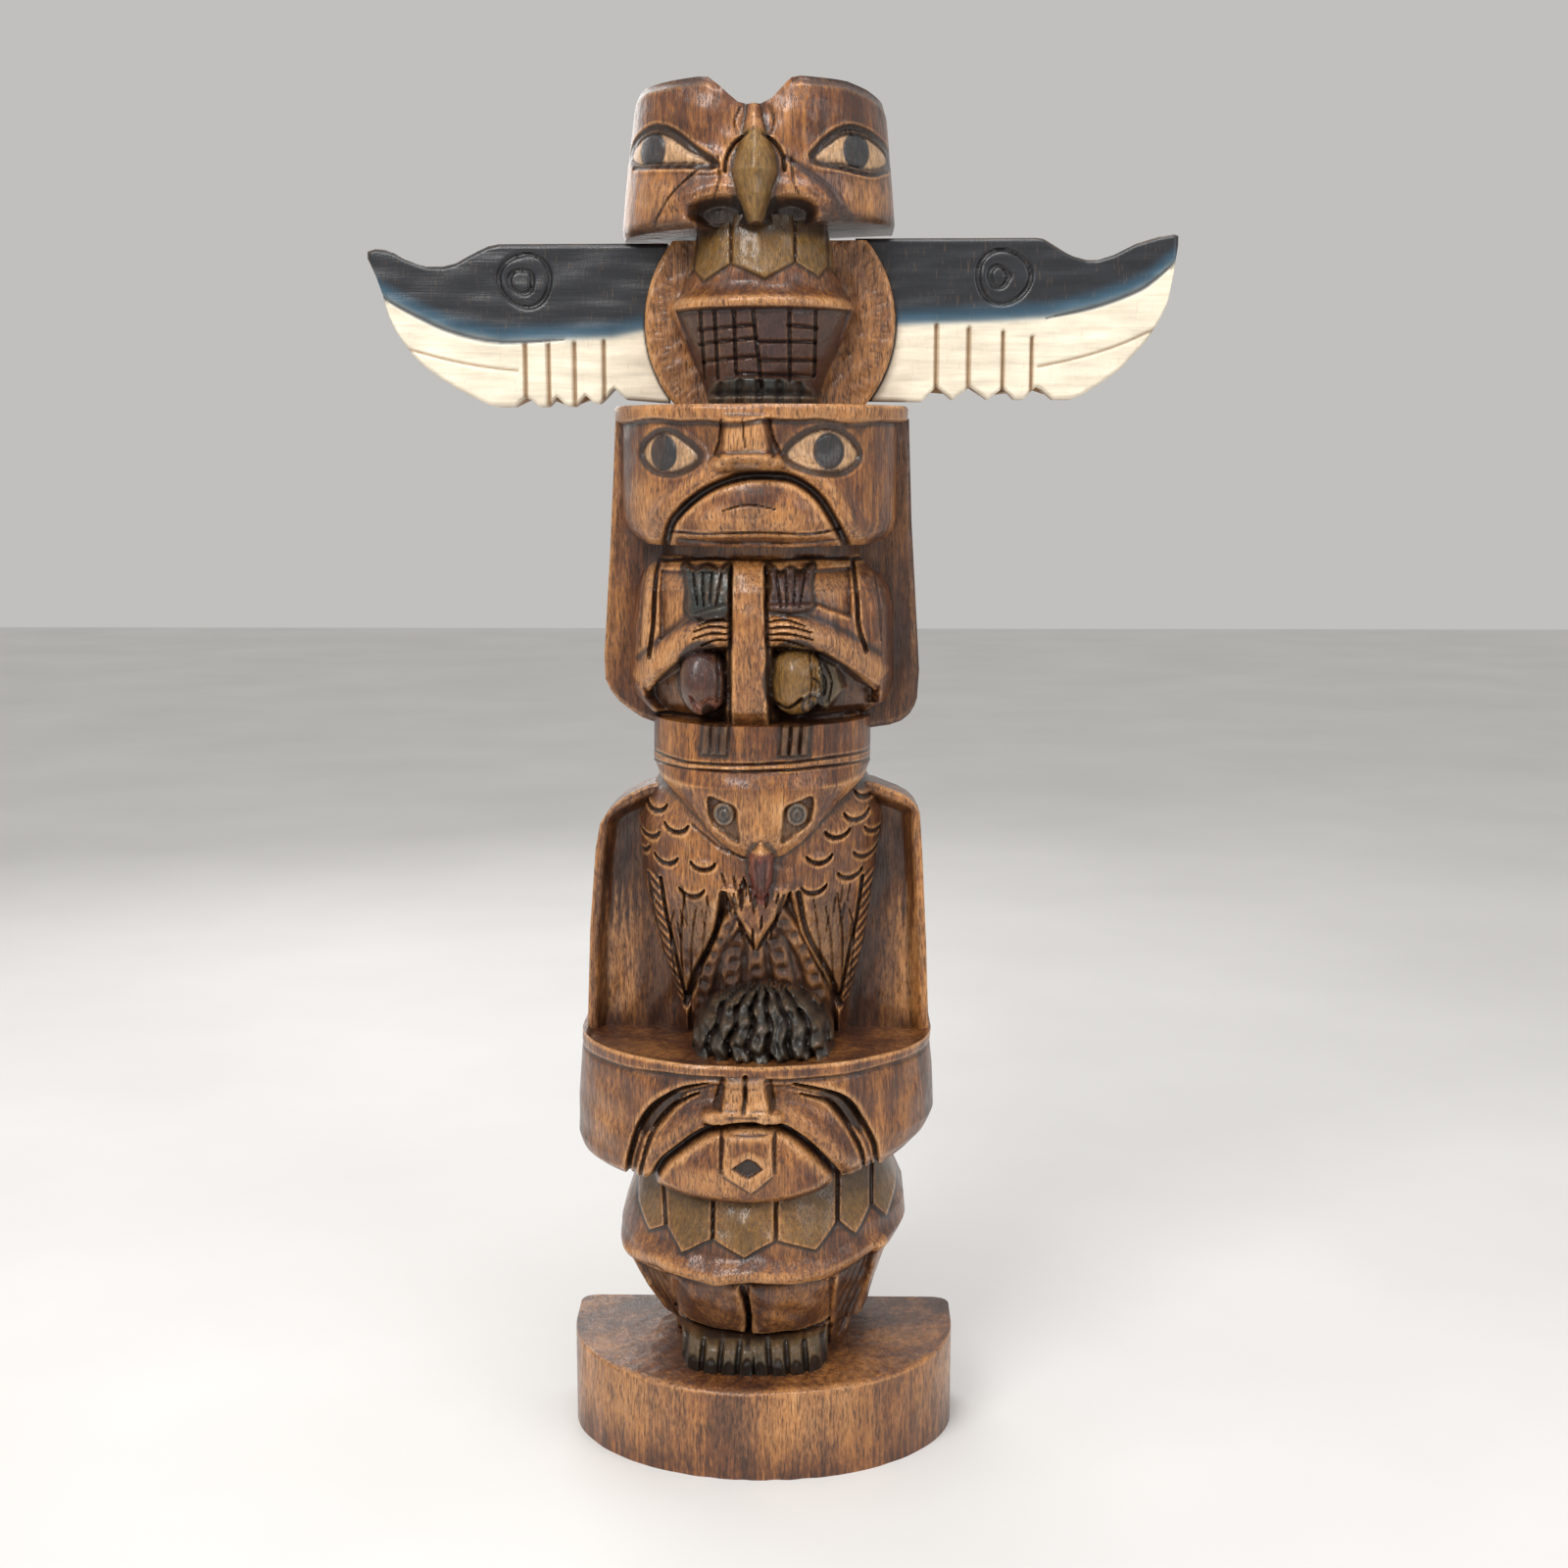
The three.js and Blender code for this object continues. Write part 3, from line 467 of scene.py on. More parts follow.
# vertices and faces of one closed block, in metres, from its finished skin
def shellOf(skin, spec):
    deepest = (backY - poleLow[1]) * 1000 - 0.05     # the solid's own front
    x, z, f = skin["x"], skin["z"], np.minimum(skin["f"], deepest)
    rows, columns = x.shape[0], x.shape[1]
    back = spec.get("back", 0.0)
    share = np.linspace(0, 1, spec.get("walls", 8) + 1) ** spec.get("wallEase", 1.0)
    corner = spec.get("corner", 0.0)
    coarse = np.arange(0, columns, 8)
    if coarse[-1] != columns - 1:
        coarse = np.append(coarse, columns - 1)

    def wall(column, inward, shares):
        depth = back + (f[:, [column]] - back) * shares
        tuck = corner - np.sqrt(np.clip(corner ** 2 - (corner - np.clip(depth - back, 0, corner)) ** 2, 0, None))
        return x[:, [column]] + inward * tuck, depth

    leftX, leftF = wall(0, 1, share[:-1])
    rightX, rightF = wall(-1, -1, share[:-1][::-1])
    # the back and the ends narrow with the rounded back corners, in proportion to the skin's own width
    narrow = (rightX[:, -1:] - leftX[:, :1]) / (x[:, -1:] - x[:, :1])
    backX = leftX[:, :1] + (x[:, coarse[1:-1]][:, ::-1] - x[:, :1]) * narrow
    loopX = np.hstack([leftX, x, rightX, backX])
    loopF = np.hstack([leftF, f, rightF, np.full_like(backX, back)])
    loopZ = np.hstack([np.repeat(z[:, :1], len(share) - 1, 1), z, np.repeat(z[:, -1:], len(share) - 1, 1), z[:, coarse[1:-1]][:, ::-1]])
    around = loopX.shape[1]
    index = np.arange(rows * around).reshape(rows, around)
    nextAround = np.roll(index, -1, 1)
    quads = [np.stack([index[:-1], nextAround[:-1], nextAround[1:], index[1:]], -1).reshape(-1, 4)]
    points = [np.stack([loopX, loopF, loopZ, np.repeat(skin["v"][:, :1], around, 1)], -1).reshape(-1, 4)]
    fronts = slice(len(share) - 1, len(share) - 1 + columns)
    layers = {}
    for key in ("dark", "glow"):
        layer = skin[key]
        fade = share[:-1][None, :] ** 2
        layers[key] = [np.hstack([layer[:, :1] * fade, layer, layer[:, -1:] * fade[:, ::-1], 0 * backX]).ravel()]
    paint = np.zeros((rows, around, 4))
    paint[:, fronts] = skin["paint"]
    paint[:, :len(share) - 1] = skin["paint"][:, :1] * (share[:-1] > spec.get("paintFrom", 0.6))[None, :, None]
    paint[:, len(share) - 1 + columns:2 * (len(share) - 1) + columns] = skin["paint"][:, -1:] * (share[:-1][::-1] > spec.get("paintFrom", 0.6))[None, :, None]
    layers["paint"] = [paint.reshape(-1, 4)]
    extras = []
    count = rows * around
    for row, up in ((rows - 1, True), (0, False)):
        # grid over the end: column i at depth back + share * (front - back)
        inner = share[1:-1][:, None]
        leftEnd, rightEnd = leftX[row, 1:][:, None], rightX[row, ::-1][1:][:, None]
        across = (x[row][None, 1:-1] - x[row, 0]) / (x[row, -1] - x[row, 0])
        capX = leftEnd + (rightEnd - leftEnd) * across
        capF = back + (f[row][None, 1:-1] - back) * inner
        capZ = np.repeat(z[row][None, 1:-1], len(inner), 0)
        capV = np.full_like(capX, skin["v"][row, 0])
        hollow = spec.get("dish") if up else None
        if hollow:
            rim = np.minimum(f[row][None, 1:-1] - capF, (1 - np.abs(skin["s"][row][None, 1:-1])) * hollow["half"])
            capZ = capZ - hollow["deep"] * ease((rim - hollow["rim"]) / hollow["soft"])
            capDark = 0.38 * ease((rim - 1) / 3) + 0.25 * ease((rim - hollow["rim"]) / 2) * ease((hollow["soft"] + 6 - rim) / 6)
        else:
            # underside caps darkened as painted shade; top caps a little darker
            capDark = np.full_like(capX, spec.get("endStain", 0.25) if up else spec.get("soleShade", 0.78))
        grid = np.full((len(share), columns), -1)
        grid[-1] = index[row, fronts]
        grid[:-1, 0] = index[row, :len(share) - 1]
        grid[:-1, -1] = index[row, len(share) - 1 + columns:2 * (len(share) - 1) + columns][::-1]
        grid[1:-1, 1:-1] = count + np.arange(capX.size).reshape(capX.shape)
        grid[0, coarse[1:-1]] = index[row, 2 * (len(share) - 1) + columns:][::-1]
        points.append(np.stack([capX, capF, capZ, capV], -1).reshape(-1, 4))
        layers["dark"].append(capDark.ravel())
        layers["glow"].append(np.zeros(capX.size))
        layers["paint"].append(np.zeros((capX.size, 4)))
        count += capX.size
        turn = 1 if up else -1
        cap = np.stack([grid[1:-1, :-1], grid[1:-1, 1:], grid[2:, 1:], grid[2:, :-1]], -1).reshape(-1, 4)
        quads.append(cap[:, ::-turn])
        for a, b in zip(coarse[:-1], coarse[1:]):
            ring = [grid[0, a], grid[0, b], *grid[1, a:b + 1][::-1]]
            extras.append([int(n) for n in (ring if not up else ring[::-1])])
    points = np.vstack(points)
    lean = spec.get("lean", 0.0) * points[:, 3] + spec.get("leanBelow", 0.0) * (1 - points[:, 3])
    vertices = np.stack([axisX + points[:, 0] / 1000, backY - points[:, 1] / 1000,
                         (points[:, 2] + lean * points[:, 1]) / 1000], -1)
    return vertices, np.vstack(quads), extras, {k: np.concatenate(a) for k, a in layers.items()}


# several closed shells as one mesh that stands for a node
def figure(name, shells, material, node):
    vertices, faces, start = [], [], 0
    for points, quads, extras, _ in shells:
        vertices.append(points)
        faces += (quads + start).tolist() + [[n + start for n in ring] for ring in extras]
        start += len(points)
    mesh = bpy.data.meshes.new(name)
    mesh.from_pydata(np.vstack(vertices).tolist(), [], faces)
    for key, kind, field in (("dark", "FLOAT", "value"), ("glow", "FLOAT", "value"), ("paint", "FLOAT_COLOR", "color")):
        values = np.concatenate([shell[3][key] for shell in shells]).astype(np.float32)
        mesh.attributes.new(key, kind, "POINT").data.foreach_set(field, values.ravel())
    mesh.shade_smooth()
    mesh.set_sharp_from_angle(angle=math.radians(55))
    mesh.materials.append(material)
    piece = bpy.data.objects.new(name, mesh)
    bpy.context.scene.collection.objects.link(piece)
    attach(piece, "root")
    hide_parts(node)
    triangles = sum(len(q) * 2 + sum(len(r) - 2 for r in e) for _, q, e, _ in shells)
    print(name, triangles, "triangles")
    return piece


# ---------- base slab

base = {
    "low": 0, "high": 62, "rows": 44, "columns": 230, "walls": 18, "corner": 9, "lean": -0.064,
    "left": [(0, -117.5), (62, -117.5)], "right": [(0, 117.5), (62, 117.5)],
    "side": [(0, 33), (62, 33)], "arc": [(0, 92), (62, 92)],
    "edge": 1.6,      # rounding of the top edge
}


def carveBase():
    skin = skinOf(base)
    x, z = skin["x"], skin["z"]
    skin["f"] = skin["f"] - 1.5 * ease((z - (base["high"] - base["edge"])) / base["edge"])
    skin["f"] = skin["f"] + np.minimum(0, handCut(x, z * 0.25, 3, 16, 0.5) - 0.3) * ease((62 - z) / 6)
    settleStainAndShade(skin, 4, 0.6)
    skin["glow"] = np.maximum(skin["glow"], 0.55 * ease(z / 40) * (0.6 + 0.4 * np.sin(x / 17)))
    return shellOf(skin, base)


# ---------- frog under its shell

frog = {
    "low": 52, "high": 177, "rows": 146, "columns": 300, "walls": 8, "back": 0.2, "leanBelow": -0.064,
    "left": [(50, -54), (71, -56), (80, -65), (97, -76), (112, -83), (122, -88.5), (131, -88), (146, -83), (166, -74.5), (177, -70)],
    "right": [(50, 52), (72, 55), (80, 66), (97, 70.6), (122, 79), (135, 88), (146, 87), (172, 75.5), (177, 73)],
    "side": [(50, 31), (177, 31)],
    "arc": [(50, 56), (89, 71), (115, 86), (126, 88), (131, 87.5), (148, 82.5), (177, 69)],
    "rim": [(-90, 113), (-80, 119), (-62, 124), (-45, 122), (-25, 120.5), (-5, 124.5), (15, 122), (35, 121), (52, 125), (66, 129), (92, 124)],
    "plates": [
        [(-27.5, 180), (-27.5, 144.7), (-8.9, 135.4), (9.5, 146.2), (9.5, 180)],
        [(9.5, 180), (9.5, 146.2), (33, 138.6), (45.5, 152), (45.5, 180)],
        [(-60, 180), (-56, 146), (-46.5, 134), (-27.5, 144.7), (-27.5, 180)],
        [(45.5, 180), (45.5, 152), (56.5, 142.6), (66, 155), (66, 180)],
        [(66, 180), (66, 155), (75.6, 144.4), (84, 158), (84, 180)],
        [(-80, 180), (-76, 150), (-67, 139), (-56, 146), (-60, 180)],
    ],
    "lap": [(-51, 120), (-25, 119), (-5, 122), (15, 120), (38, 118.5), (44, 117), (43, 88), (42, 50), (-50, 50), (-53, 88)],
    "foot": [(50, 102), (58, 105), (68, 107), (76, 104), (80, 99)],      # height, how far forward the toes reach
    "toes": 8,
}


def carveFrog():
    skin = skinOf(frog)
    x, z = skin["x"], skin["z"]
    # belly hangs over the lap: the lower part steps back under the rolled rim
    rim = z - along(x, frog["rim"])
    skin["f"] = skin["f"] - 3.5 * ease(-rim / 3) * ease((88 - np.abs(x)) / 10)
    skin["f"] = skin["f"] + 3.0 * np.exp(-((rim - 4.5) / 4.5) ** 2) - 1.6 * np.exp(-((rim - 14) / 5) ** 2)
    # painted highlight along the rolled rim
    shine(skin, 2.6 - np.abs(rim - 3.5), 0.5, 3)
    lap = insideBy(x, z, frog["lap"])
    step(skin, lap, -6.0, 5)
    # thighs
    for cx, wide in ((-29.5, 22), (17, 24)):
        swell(skin, np.minimum(wide - np.abs(x - cx), np.minimum(z - 80, 119 - z)), 7.0, 14)
    # painted shade in the lap, which lies back under the belly
    skin["dark"] = np.maximum(skin["dark"], 0.34 * ease(lap / 3))
    groove(skin, [(-7.5, 78), (-7.0, 95), (-8.5, 107), (-10.5, 116)], 5.5, 6.5, 1.0)
    # hollows between the thighs and the limbs, scored with slanting strokes, with painted shade in the hollows and
    # strokes
    for outline, lean in (([(-76, 114), (-54, 118), (-52, 88), (-50, 56), (-56, 72), (-66, 92)], 1),
                          ([(66, 124), (47, 119), (44, 88), (44, 56), (56, 74), (62, 92)], -1)):
        inside = insideBy(x, z, outline)
        step(skin, inside, -6.0, 5)
        stainAndShade(skin, inside, 0.55, 5)
        strokes = 0.5 + 0.5 * np.sin((x * 1.0 + lean * z * 0.45) * 6.28 / 4.6)
        skin["f"] = skin["f"] - 1.2 * strokes * ease(inside / 4)
        skin["dark"] = np.maximum(skin["dark"], 0.8 * ease((strokes - 0.5) / 0.4) * ease(inside / 4))
    # toes stand forward: forward reach less 24 * (1 - sqrt(1 - u^4)) across the foot
    across = np.clip(np.abs(x + 4) / 44, 0, 1)
    reach = along(z, frog["foot"]) - 24 * (1 - np.sqrt(1 - across ** 4))
    inFoot = np.minimum(44 - np.abs(x + 4), 80.5 - z)
    slot = (x + 47 + 0.10 * (z - 55) * np.sign(x + 4)) / (86 / frog["toes"])
    ridge = np.abs((slot % 1) - 0.5) * 2
    uneven = 1.2 * np.sin(np.floor(slot) * 2.7)
    reach = reach - 5.0 * ease((ridge - 0.5) / 0.4) * ease((81 - z) / 3)
    nail = ovalBy((slot % 1 - 0.5) * 86 / frog["toes"], z, 0, 64 + uneven, 3.3, 7.0)
    reach = reach - 2.6 * ease(nail / 2 + 0.5)
    onFoot = np.where(inFoot > 0, reach, 0) - skin["f"]
    skin["f"] = blendMax(skin["f"], np.where(inFoot > 0, reach, 0), 1.2)
    groove(skin, [(-52, 86), (-46, 83), (-30, 80.5), (-10, 81), (0, 80.5), (20, 81.5), (40, 84)], 4.5, 4, 1.0)
    foot = np.where(inFoot > 0, onFoot, -5)
    colour(skin, foot, paints["olive"], 0.85)
    colour(skin, np.minimum(foot, 71 - z), paints["green"], 0.9, 6)
    stainAndShade(skin, np.where(foot > 0, nail, -9), 0.9, 2)
    # painted shade between the toes, and a painted highlight down one side of each toe
    skin["dark"] = np.maximum(skin["dark"], 0.95 * ease((ridge - 0.55) / 0.3) * ease(foot / 2) * ease((82 - z) / 3))
    skin["glow"] = np.maximum(skin["glow"], 0.28 * ease(foot / 2) * np.exp(-((ridge - 0.38) / 0.14) ** 2))
    # side limbs: a ridge down each flank, with a painted highlight along it
    for path, lean in (([(-84, 121), (-76, 108), (-66, 92), (-53, 66)], 1), ([(74, 130), (68, 112), (61, 92), (53, 66)], -1)):
        gap, place = pathGap(x, z, path)
        skin["f"] = skin["f"] + 5.0 * ease(1 - gap / 8)
        shine(skin, 2.0 - gap, 0.45, 3)
    # shell plates
    for outline in frog["plates"]:
        inside = insideBy(x, z, outline)
        step(skin, inside - 1.0, 3.2, 1.8)
        skin["f"] = skin["f"] - 0.5 * ease(inside / 12)
        colour(skin, inside - 2.0, paints["ochre"], 0.7, 6)
        stainAndShade(skin, 1.1 - np.abs(inside + 0.3), 0.95, 1.0)
    # painted shade at the top, under the overhanging face above
    skin["dark"] = np.maximum(skin["dark"], 0.5 * ease((z - 160) / 8))
    skin["f"] = skin["f"] + handCut(x, z, 5, 20, 0.6)
    settleStainAndShade(skin)
    return shellOf(skin, frog)


# ---------- frowning face with a ledge on top

frown = {
    "low": 173, "high": 250.5, "rows": 98, "columns": 366, "walls": 20, "wallEase": 0.8,
    "left": [(163, -106), (173.5, -107.8), (179, -111.5), (187, -114), (210, -113.7), (243, -111), (251, -111)],
    "right": [(163, 97), (185, 97), (191, 101.5), (201, 105), (228, 103.8), (243, 102.2), (251, 103)],
    "sole": [(-114, 176), (-107, 173.5), (-64, 172.5), (-58, 171), (-45, 167.5), (-25, 164.5), (-5, 163), (15, 165),
             (35, 171), (44, 176), (60, 178.5), (73, 180), (89, 185), (97, 188), (105, 194)],
    "side": [(163, 27), (173, 28), (251, 28)], "arc": [(163, 84), (175, 90), (187, 92), (243, 90), (251, 91)],
    "dish": {"deep": 1.8, "rim": 3.0, "soft": 5.0, "half": 105},
    "outerLeft": [(-80, 168), (-78.7, 176), (-76.8, 189), (-69.9, 210), (-58.4, 225), (-45, 234), (-30, 239)],
    "outerRight": [(70, 174), (68.5, 182), (66.7, 197), (57.4, 216), (47, 229), (33, 235), (20, 239)],
    "inner": [(-66, 166), (-63.8, 173), (-57.3, 187), (-46, 198.4), (-30.5, 209.7), (-15.2, 214), (0, 215), (15, 211), (30, 199), (42.3, 183.6), (46, 172)],
}


def carveFrown():
    skin = skinOf(frown)
    x, z = skin["x"], skin["z"]
    inner = smoothPath(frown["inner"])
    outerLeft, outerRight = smoothPath(frown["outerLeft"]), smoothPath(frown["outerRight"])
    # the middle of the face lies back between the outer arches
    middle = insideBy(x, z, np.vstack([outerLeft, outerRight[::-1], [(60, 150), (-70, 150)]]))
    step(skin, middle, -5.0, 4)
    skin["f"] = skin["f"] - 3.0 * ease((middle - 1) / 10) * ease((z - 210) / 20)
    # lip of the ledge, with painted shade under it
    wave = 0.8 * np.sin(x / 19)
    lip = z - (243.5 - wave)
    skin["f"] = skin["f"] + 1.8 * ease(lip / 2.2 + 0.5) - 1.2 * ease((z - 248.6) / 1.8) - 1.3 * np.exp(-((lip + 1.5) / 1.5) ** 2)
    skin["dark"] = np.maximum(skin["dark"], 0.5 * np.exp(-((lip + 1.5) / 1.8) ** 2))
    # double grooves of the outer arches with a ridge between, opening to a hollow near the top that is darkened as
    # painted shade
    for path, lean in ((outerLeft, 1), (outerRight, -1)):
        groove(skin, path, 5.5, 5.5, 1.0, 0.4)
        groove(skin, [(a + lean * 7.5, b - 4) for a, b in path[:-5]], 4.0, 4.0, 0.95, 0.4)
        place = pathGap(x, z, path)[1]
        cave = 6 * np.sin(np.clip((place - 0.35) / 0.5, 0, 1) * math.pi) - pathGap(x, z, [(a + lean * 3, b - 2.5) for a, b in path])[0]
        step(skin, cave, -3.0, 3)
        stainAndShade(skin, cave, 0.95, 3)
    # cheeks roll down into the frown, with a painted highlight along the roll
    inArch = insideBy(x, z, np.vstack([inner, [(46, 140), (-66, 140)]]))
    skin["f"] = skin["f"] + 4.2 * np.exp(-((inArch + 10) / 6.0) ** 2) * ease((middle - 2) / 6)
    shine(skin, 3 - np.abs(inArch + 9), 0.35, 5)
    groove(skin, inner, 7.0, 7.5, 1.0)
    # chin dome, with a painted highlight on its left part
    dome = np.clip(inArch / 24, 0, 1)
    skin["f"] = skin["f"] + (8.5 * np.sqrt(1 - (1 - dome) ** 2)) * ease(inArch / 2)
    skin["f"] = skin["f"] - 8.0 * ease((skin["sole"] + 9 - z) / 9) ** 1.5
    shine(skin, ovalBy(x, z, -30, 180, 18, 9), 0.45, 8)
    # nose with two nostril rolls, lit with a painted highlight
    nose = insideBy(x, z, [(-18.5, 243), (2.5, 243), (6, 222), (-22, 222)])
    step(skin, nose, 8.5, 4)
    for cx in (-25.5, 6.5):
        skin["f"] = skin["f"] + 8.5 * ease(1.3 - np.hypot((x - cx) / 7.6, (z - 219.2) / 4.8))
    step(skin, insideBy(x, z, [(-24, 223.5), (5, 223.5), (4, 216), (-22, 216)]), 6.5, 3)
    groove(skin, [(-7.8, 244), (-8, 232), (-9, 223.5)], 4.0, 5.5, 1.0)
    groove(skin, [(-31, 213.6), (-20, 213.8), (-10, 213.4), (3, 213.8), (12, 213.6)], 3.4, 3.0, 1.0)
    for side, lean in ((-22.5, -3.5), (5.5, 3)):
        groove(skin, [(side + 1, 242), (side + lean, 225)], 2.6, 2.0, 0.9)
    noseAll = np.maximum(nose, ovalBy(x, z, -10, 219, 22, 5.5))
    shine(skin, noseAll, 0.75, 4)
    # tongue with its lozenge hole: painted shade in the hole, a painted highlight on the tongue
    tongue = insideBy(x, z, [(-19.5, 209), (7, 209), (8, 186.5), (-4.5, 175.5), (-21, 186.5)])
    step(skin, tongue, 4.0, 1.8)
    lozenge = insideBy(x, z, [(-15.5, 190.5), (-10.5, 194), (-6.5, 196.5), (-2, 194.5), (2, 190.3), (-2.5, 186.8), (-6.5, 184.5), (-10.5, 186.6)])
    step(skin, 2.6 - np.abs(lozenge + 2.2), 1.2, 2)
    step(skin, lozenge, -6.5, 2.0)
    stainAndShade(skin, lozenge, 1.0, 2.0)
    shine(skin, np.where(lozenge > -0.5, -5, np.minimum(tongue, 197 - z)), 0.65, 3)
    for side in (-22.0, 9.0):
        groove(skin, [(side, 210), (side, 188)], 2.8, 2.2, 0.9)
    skin["f"] = skin["f"] + handCut(x, z, 8, 26, 0.7)
    settleStainAndShade(skin)
    # the nose eases off before it reaches the solid's front: room * (1 - exp(-over / room))
    over, room = np.maximum(skin["f"] - 117.3, 0), 7.4
    skin["f"] = np.minimum(skin["f"], 117.3) + room * (1 - np.exp(-over / room))
    # painted highlight on the top edge of the ledge and on the left cheek; darker towards the bottom outer corners
    skin["glow"] = np.maximum(skin["glow"], 0.85 * ease((z - 248.0) / 1.6))
    skin["glow"] = np.maximum(skin["glow"], 0.42 * np.exp(-((x + 92) / 14) ** 2 - ((z - 205) / 22) ** 2))
    skin["dark"] = np.maximum(skin["dark"], 0.35 * ease((180 - z) / 8) * ease((np.abs(x + 5) - 60) / 8))
    return shellOf(skin, frown)


# ---------- bird on the ledge, in front of its hollow board

birdBoard = {
    "low": 247, "high": 403, "rows": 128, "columns": 184, "walls": 8, "fan": 0.0, "back": 0.2, "corner": 3,
    "left": [(247, -108), (312, -105.5), (361, -101.5), (377, -98.5)], "right": [(247, 101.5), (303, 99.5), (360, 96.5), (384, 94.8)],
    "crown": [(-108, 372), (-98, 377), (-95, 382.5), (-90, 388), (-84, 393), (-76, 397.5), (-68, 400.8), (-60, 402.5), (60, 403.5),
              (68, 402), (74, 399.5), (82, 396.4), (88, 393), (92, 389), (94.5, 384), (102, 378)],
    "side": [(247, 35), (403, 35)], "arc": [(247, 0), (403, 0)],
    "rim": 3.6, "hollow": 9.5,
}

bird = {
    "low": 247, "high": 417, "rows": 188, "columns": 250, "walls": 4, "back": 4,
    "left": [(246, -52), (271, -54), (299, -64), (338, -73.5), (380, -76), (398, -68), (408, -62), (417, -65.5)],
    "right": [(246, 52), (271, 54), (301, 62.5), (342, 68), (384, 73), (398, 67), (408, 61.5), (417, 64.5)],
    "side": [(246, 15), (417, 15)], "arc": [(246, 48), (300, 61), (340, 70), (385, 71), (404, 66), (417, 64)],
    "head": [(362, 4, 77), (364.5, 11, 77), (368, 19, 73), (375, 28, 68), (382, 36, 62), (394, 47.5, 50), (408, 61, 37), (417.5, 65, 30)],
    "scales": [(-63.5, 389), (-49.8, 379.5), (-75, 362), (-56.5, 359.5), (-33.7, 358.8), (-40.8, 341.8), (-68, 373),
               (62.5, 397), (56.3, 385.5), (44.8, 376.8), (68.6, 375.5), (34.2, 362.6), (62, 361.8), (52.4, 350.8), (30.9, 344.6)],
}


def carveBirdBoard():
    skin = skinOf(birdBoard)
    x, z = skin["x"], skin["z"]
    left, right = along(z, birdBoard["left"]), along(z, birdBoard["right"])
    edge = np.minimum(np.minimum(x - left, right - x), (skin["crown"] - z) * 0.85)
    skin["f"] = skin["f"] - birdBoard["hollow"] * ease((edge - birdBoard["rim"]) / 8) - 1.2 * ease((1.2 - edge) / 1.2)
    skin["f"] = skin["f"] + handCut(x, z * 0.35, 11, 12, 0.45) * ease(edge / 5)
    settleStainAndShade(skin, 4, 0.8)
    # the stain is rubbed off in upright streaks low on the boards
    streak = 0.5 + 0.5 * np.sin(x * 1.7 + 2.2 * np.sin(x * 0.43)) * np.sin(x * 0.9 + z * 0.02)
    patch = np.exp(-((np.abs(x) - 88) / 12) ** 2) * ease((332 + 16 * np.sin(x * 1.3) - z) / 14) * ease((z - 249) / 16)
    worn = patch * (0.3 + 0.7 * streak)
    # painted shade inside the hollow behind the bird, deepest in its upper part
    skin["dark"] = np.maximum(skin["dark"], 0.52 * ease((edge - 2.5) / 5) * (1 - patch))
    skin["dark"] = np.maximum(skin["dark"], 0.72 * ease((edge - 4) / 8) * ease((z - 322) / 24))
    skin["glow"] = np.maximum(skin["glow"] * 0.6, 0.8 * worn)
    # painted highlight and rubbed wear along the rim
    skin["glow"] = np.maximum(skin["glow"], 0.75 * ease((2.4 - edge) / 2.0))
    return shellOf(skin, birdBoard)


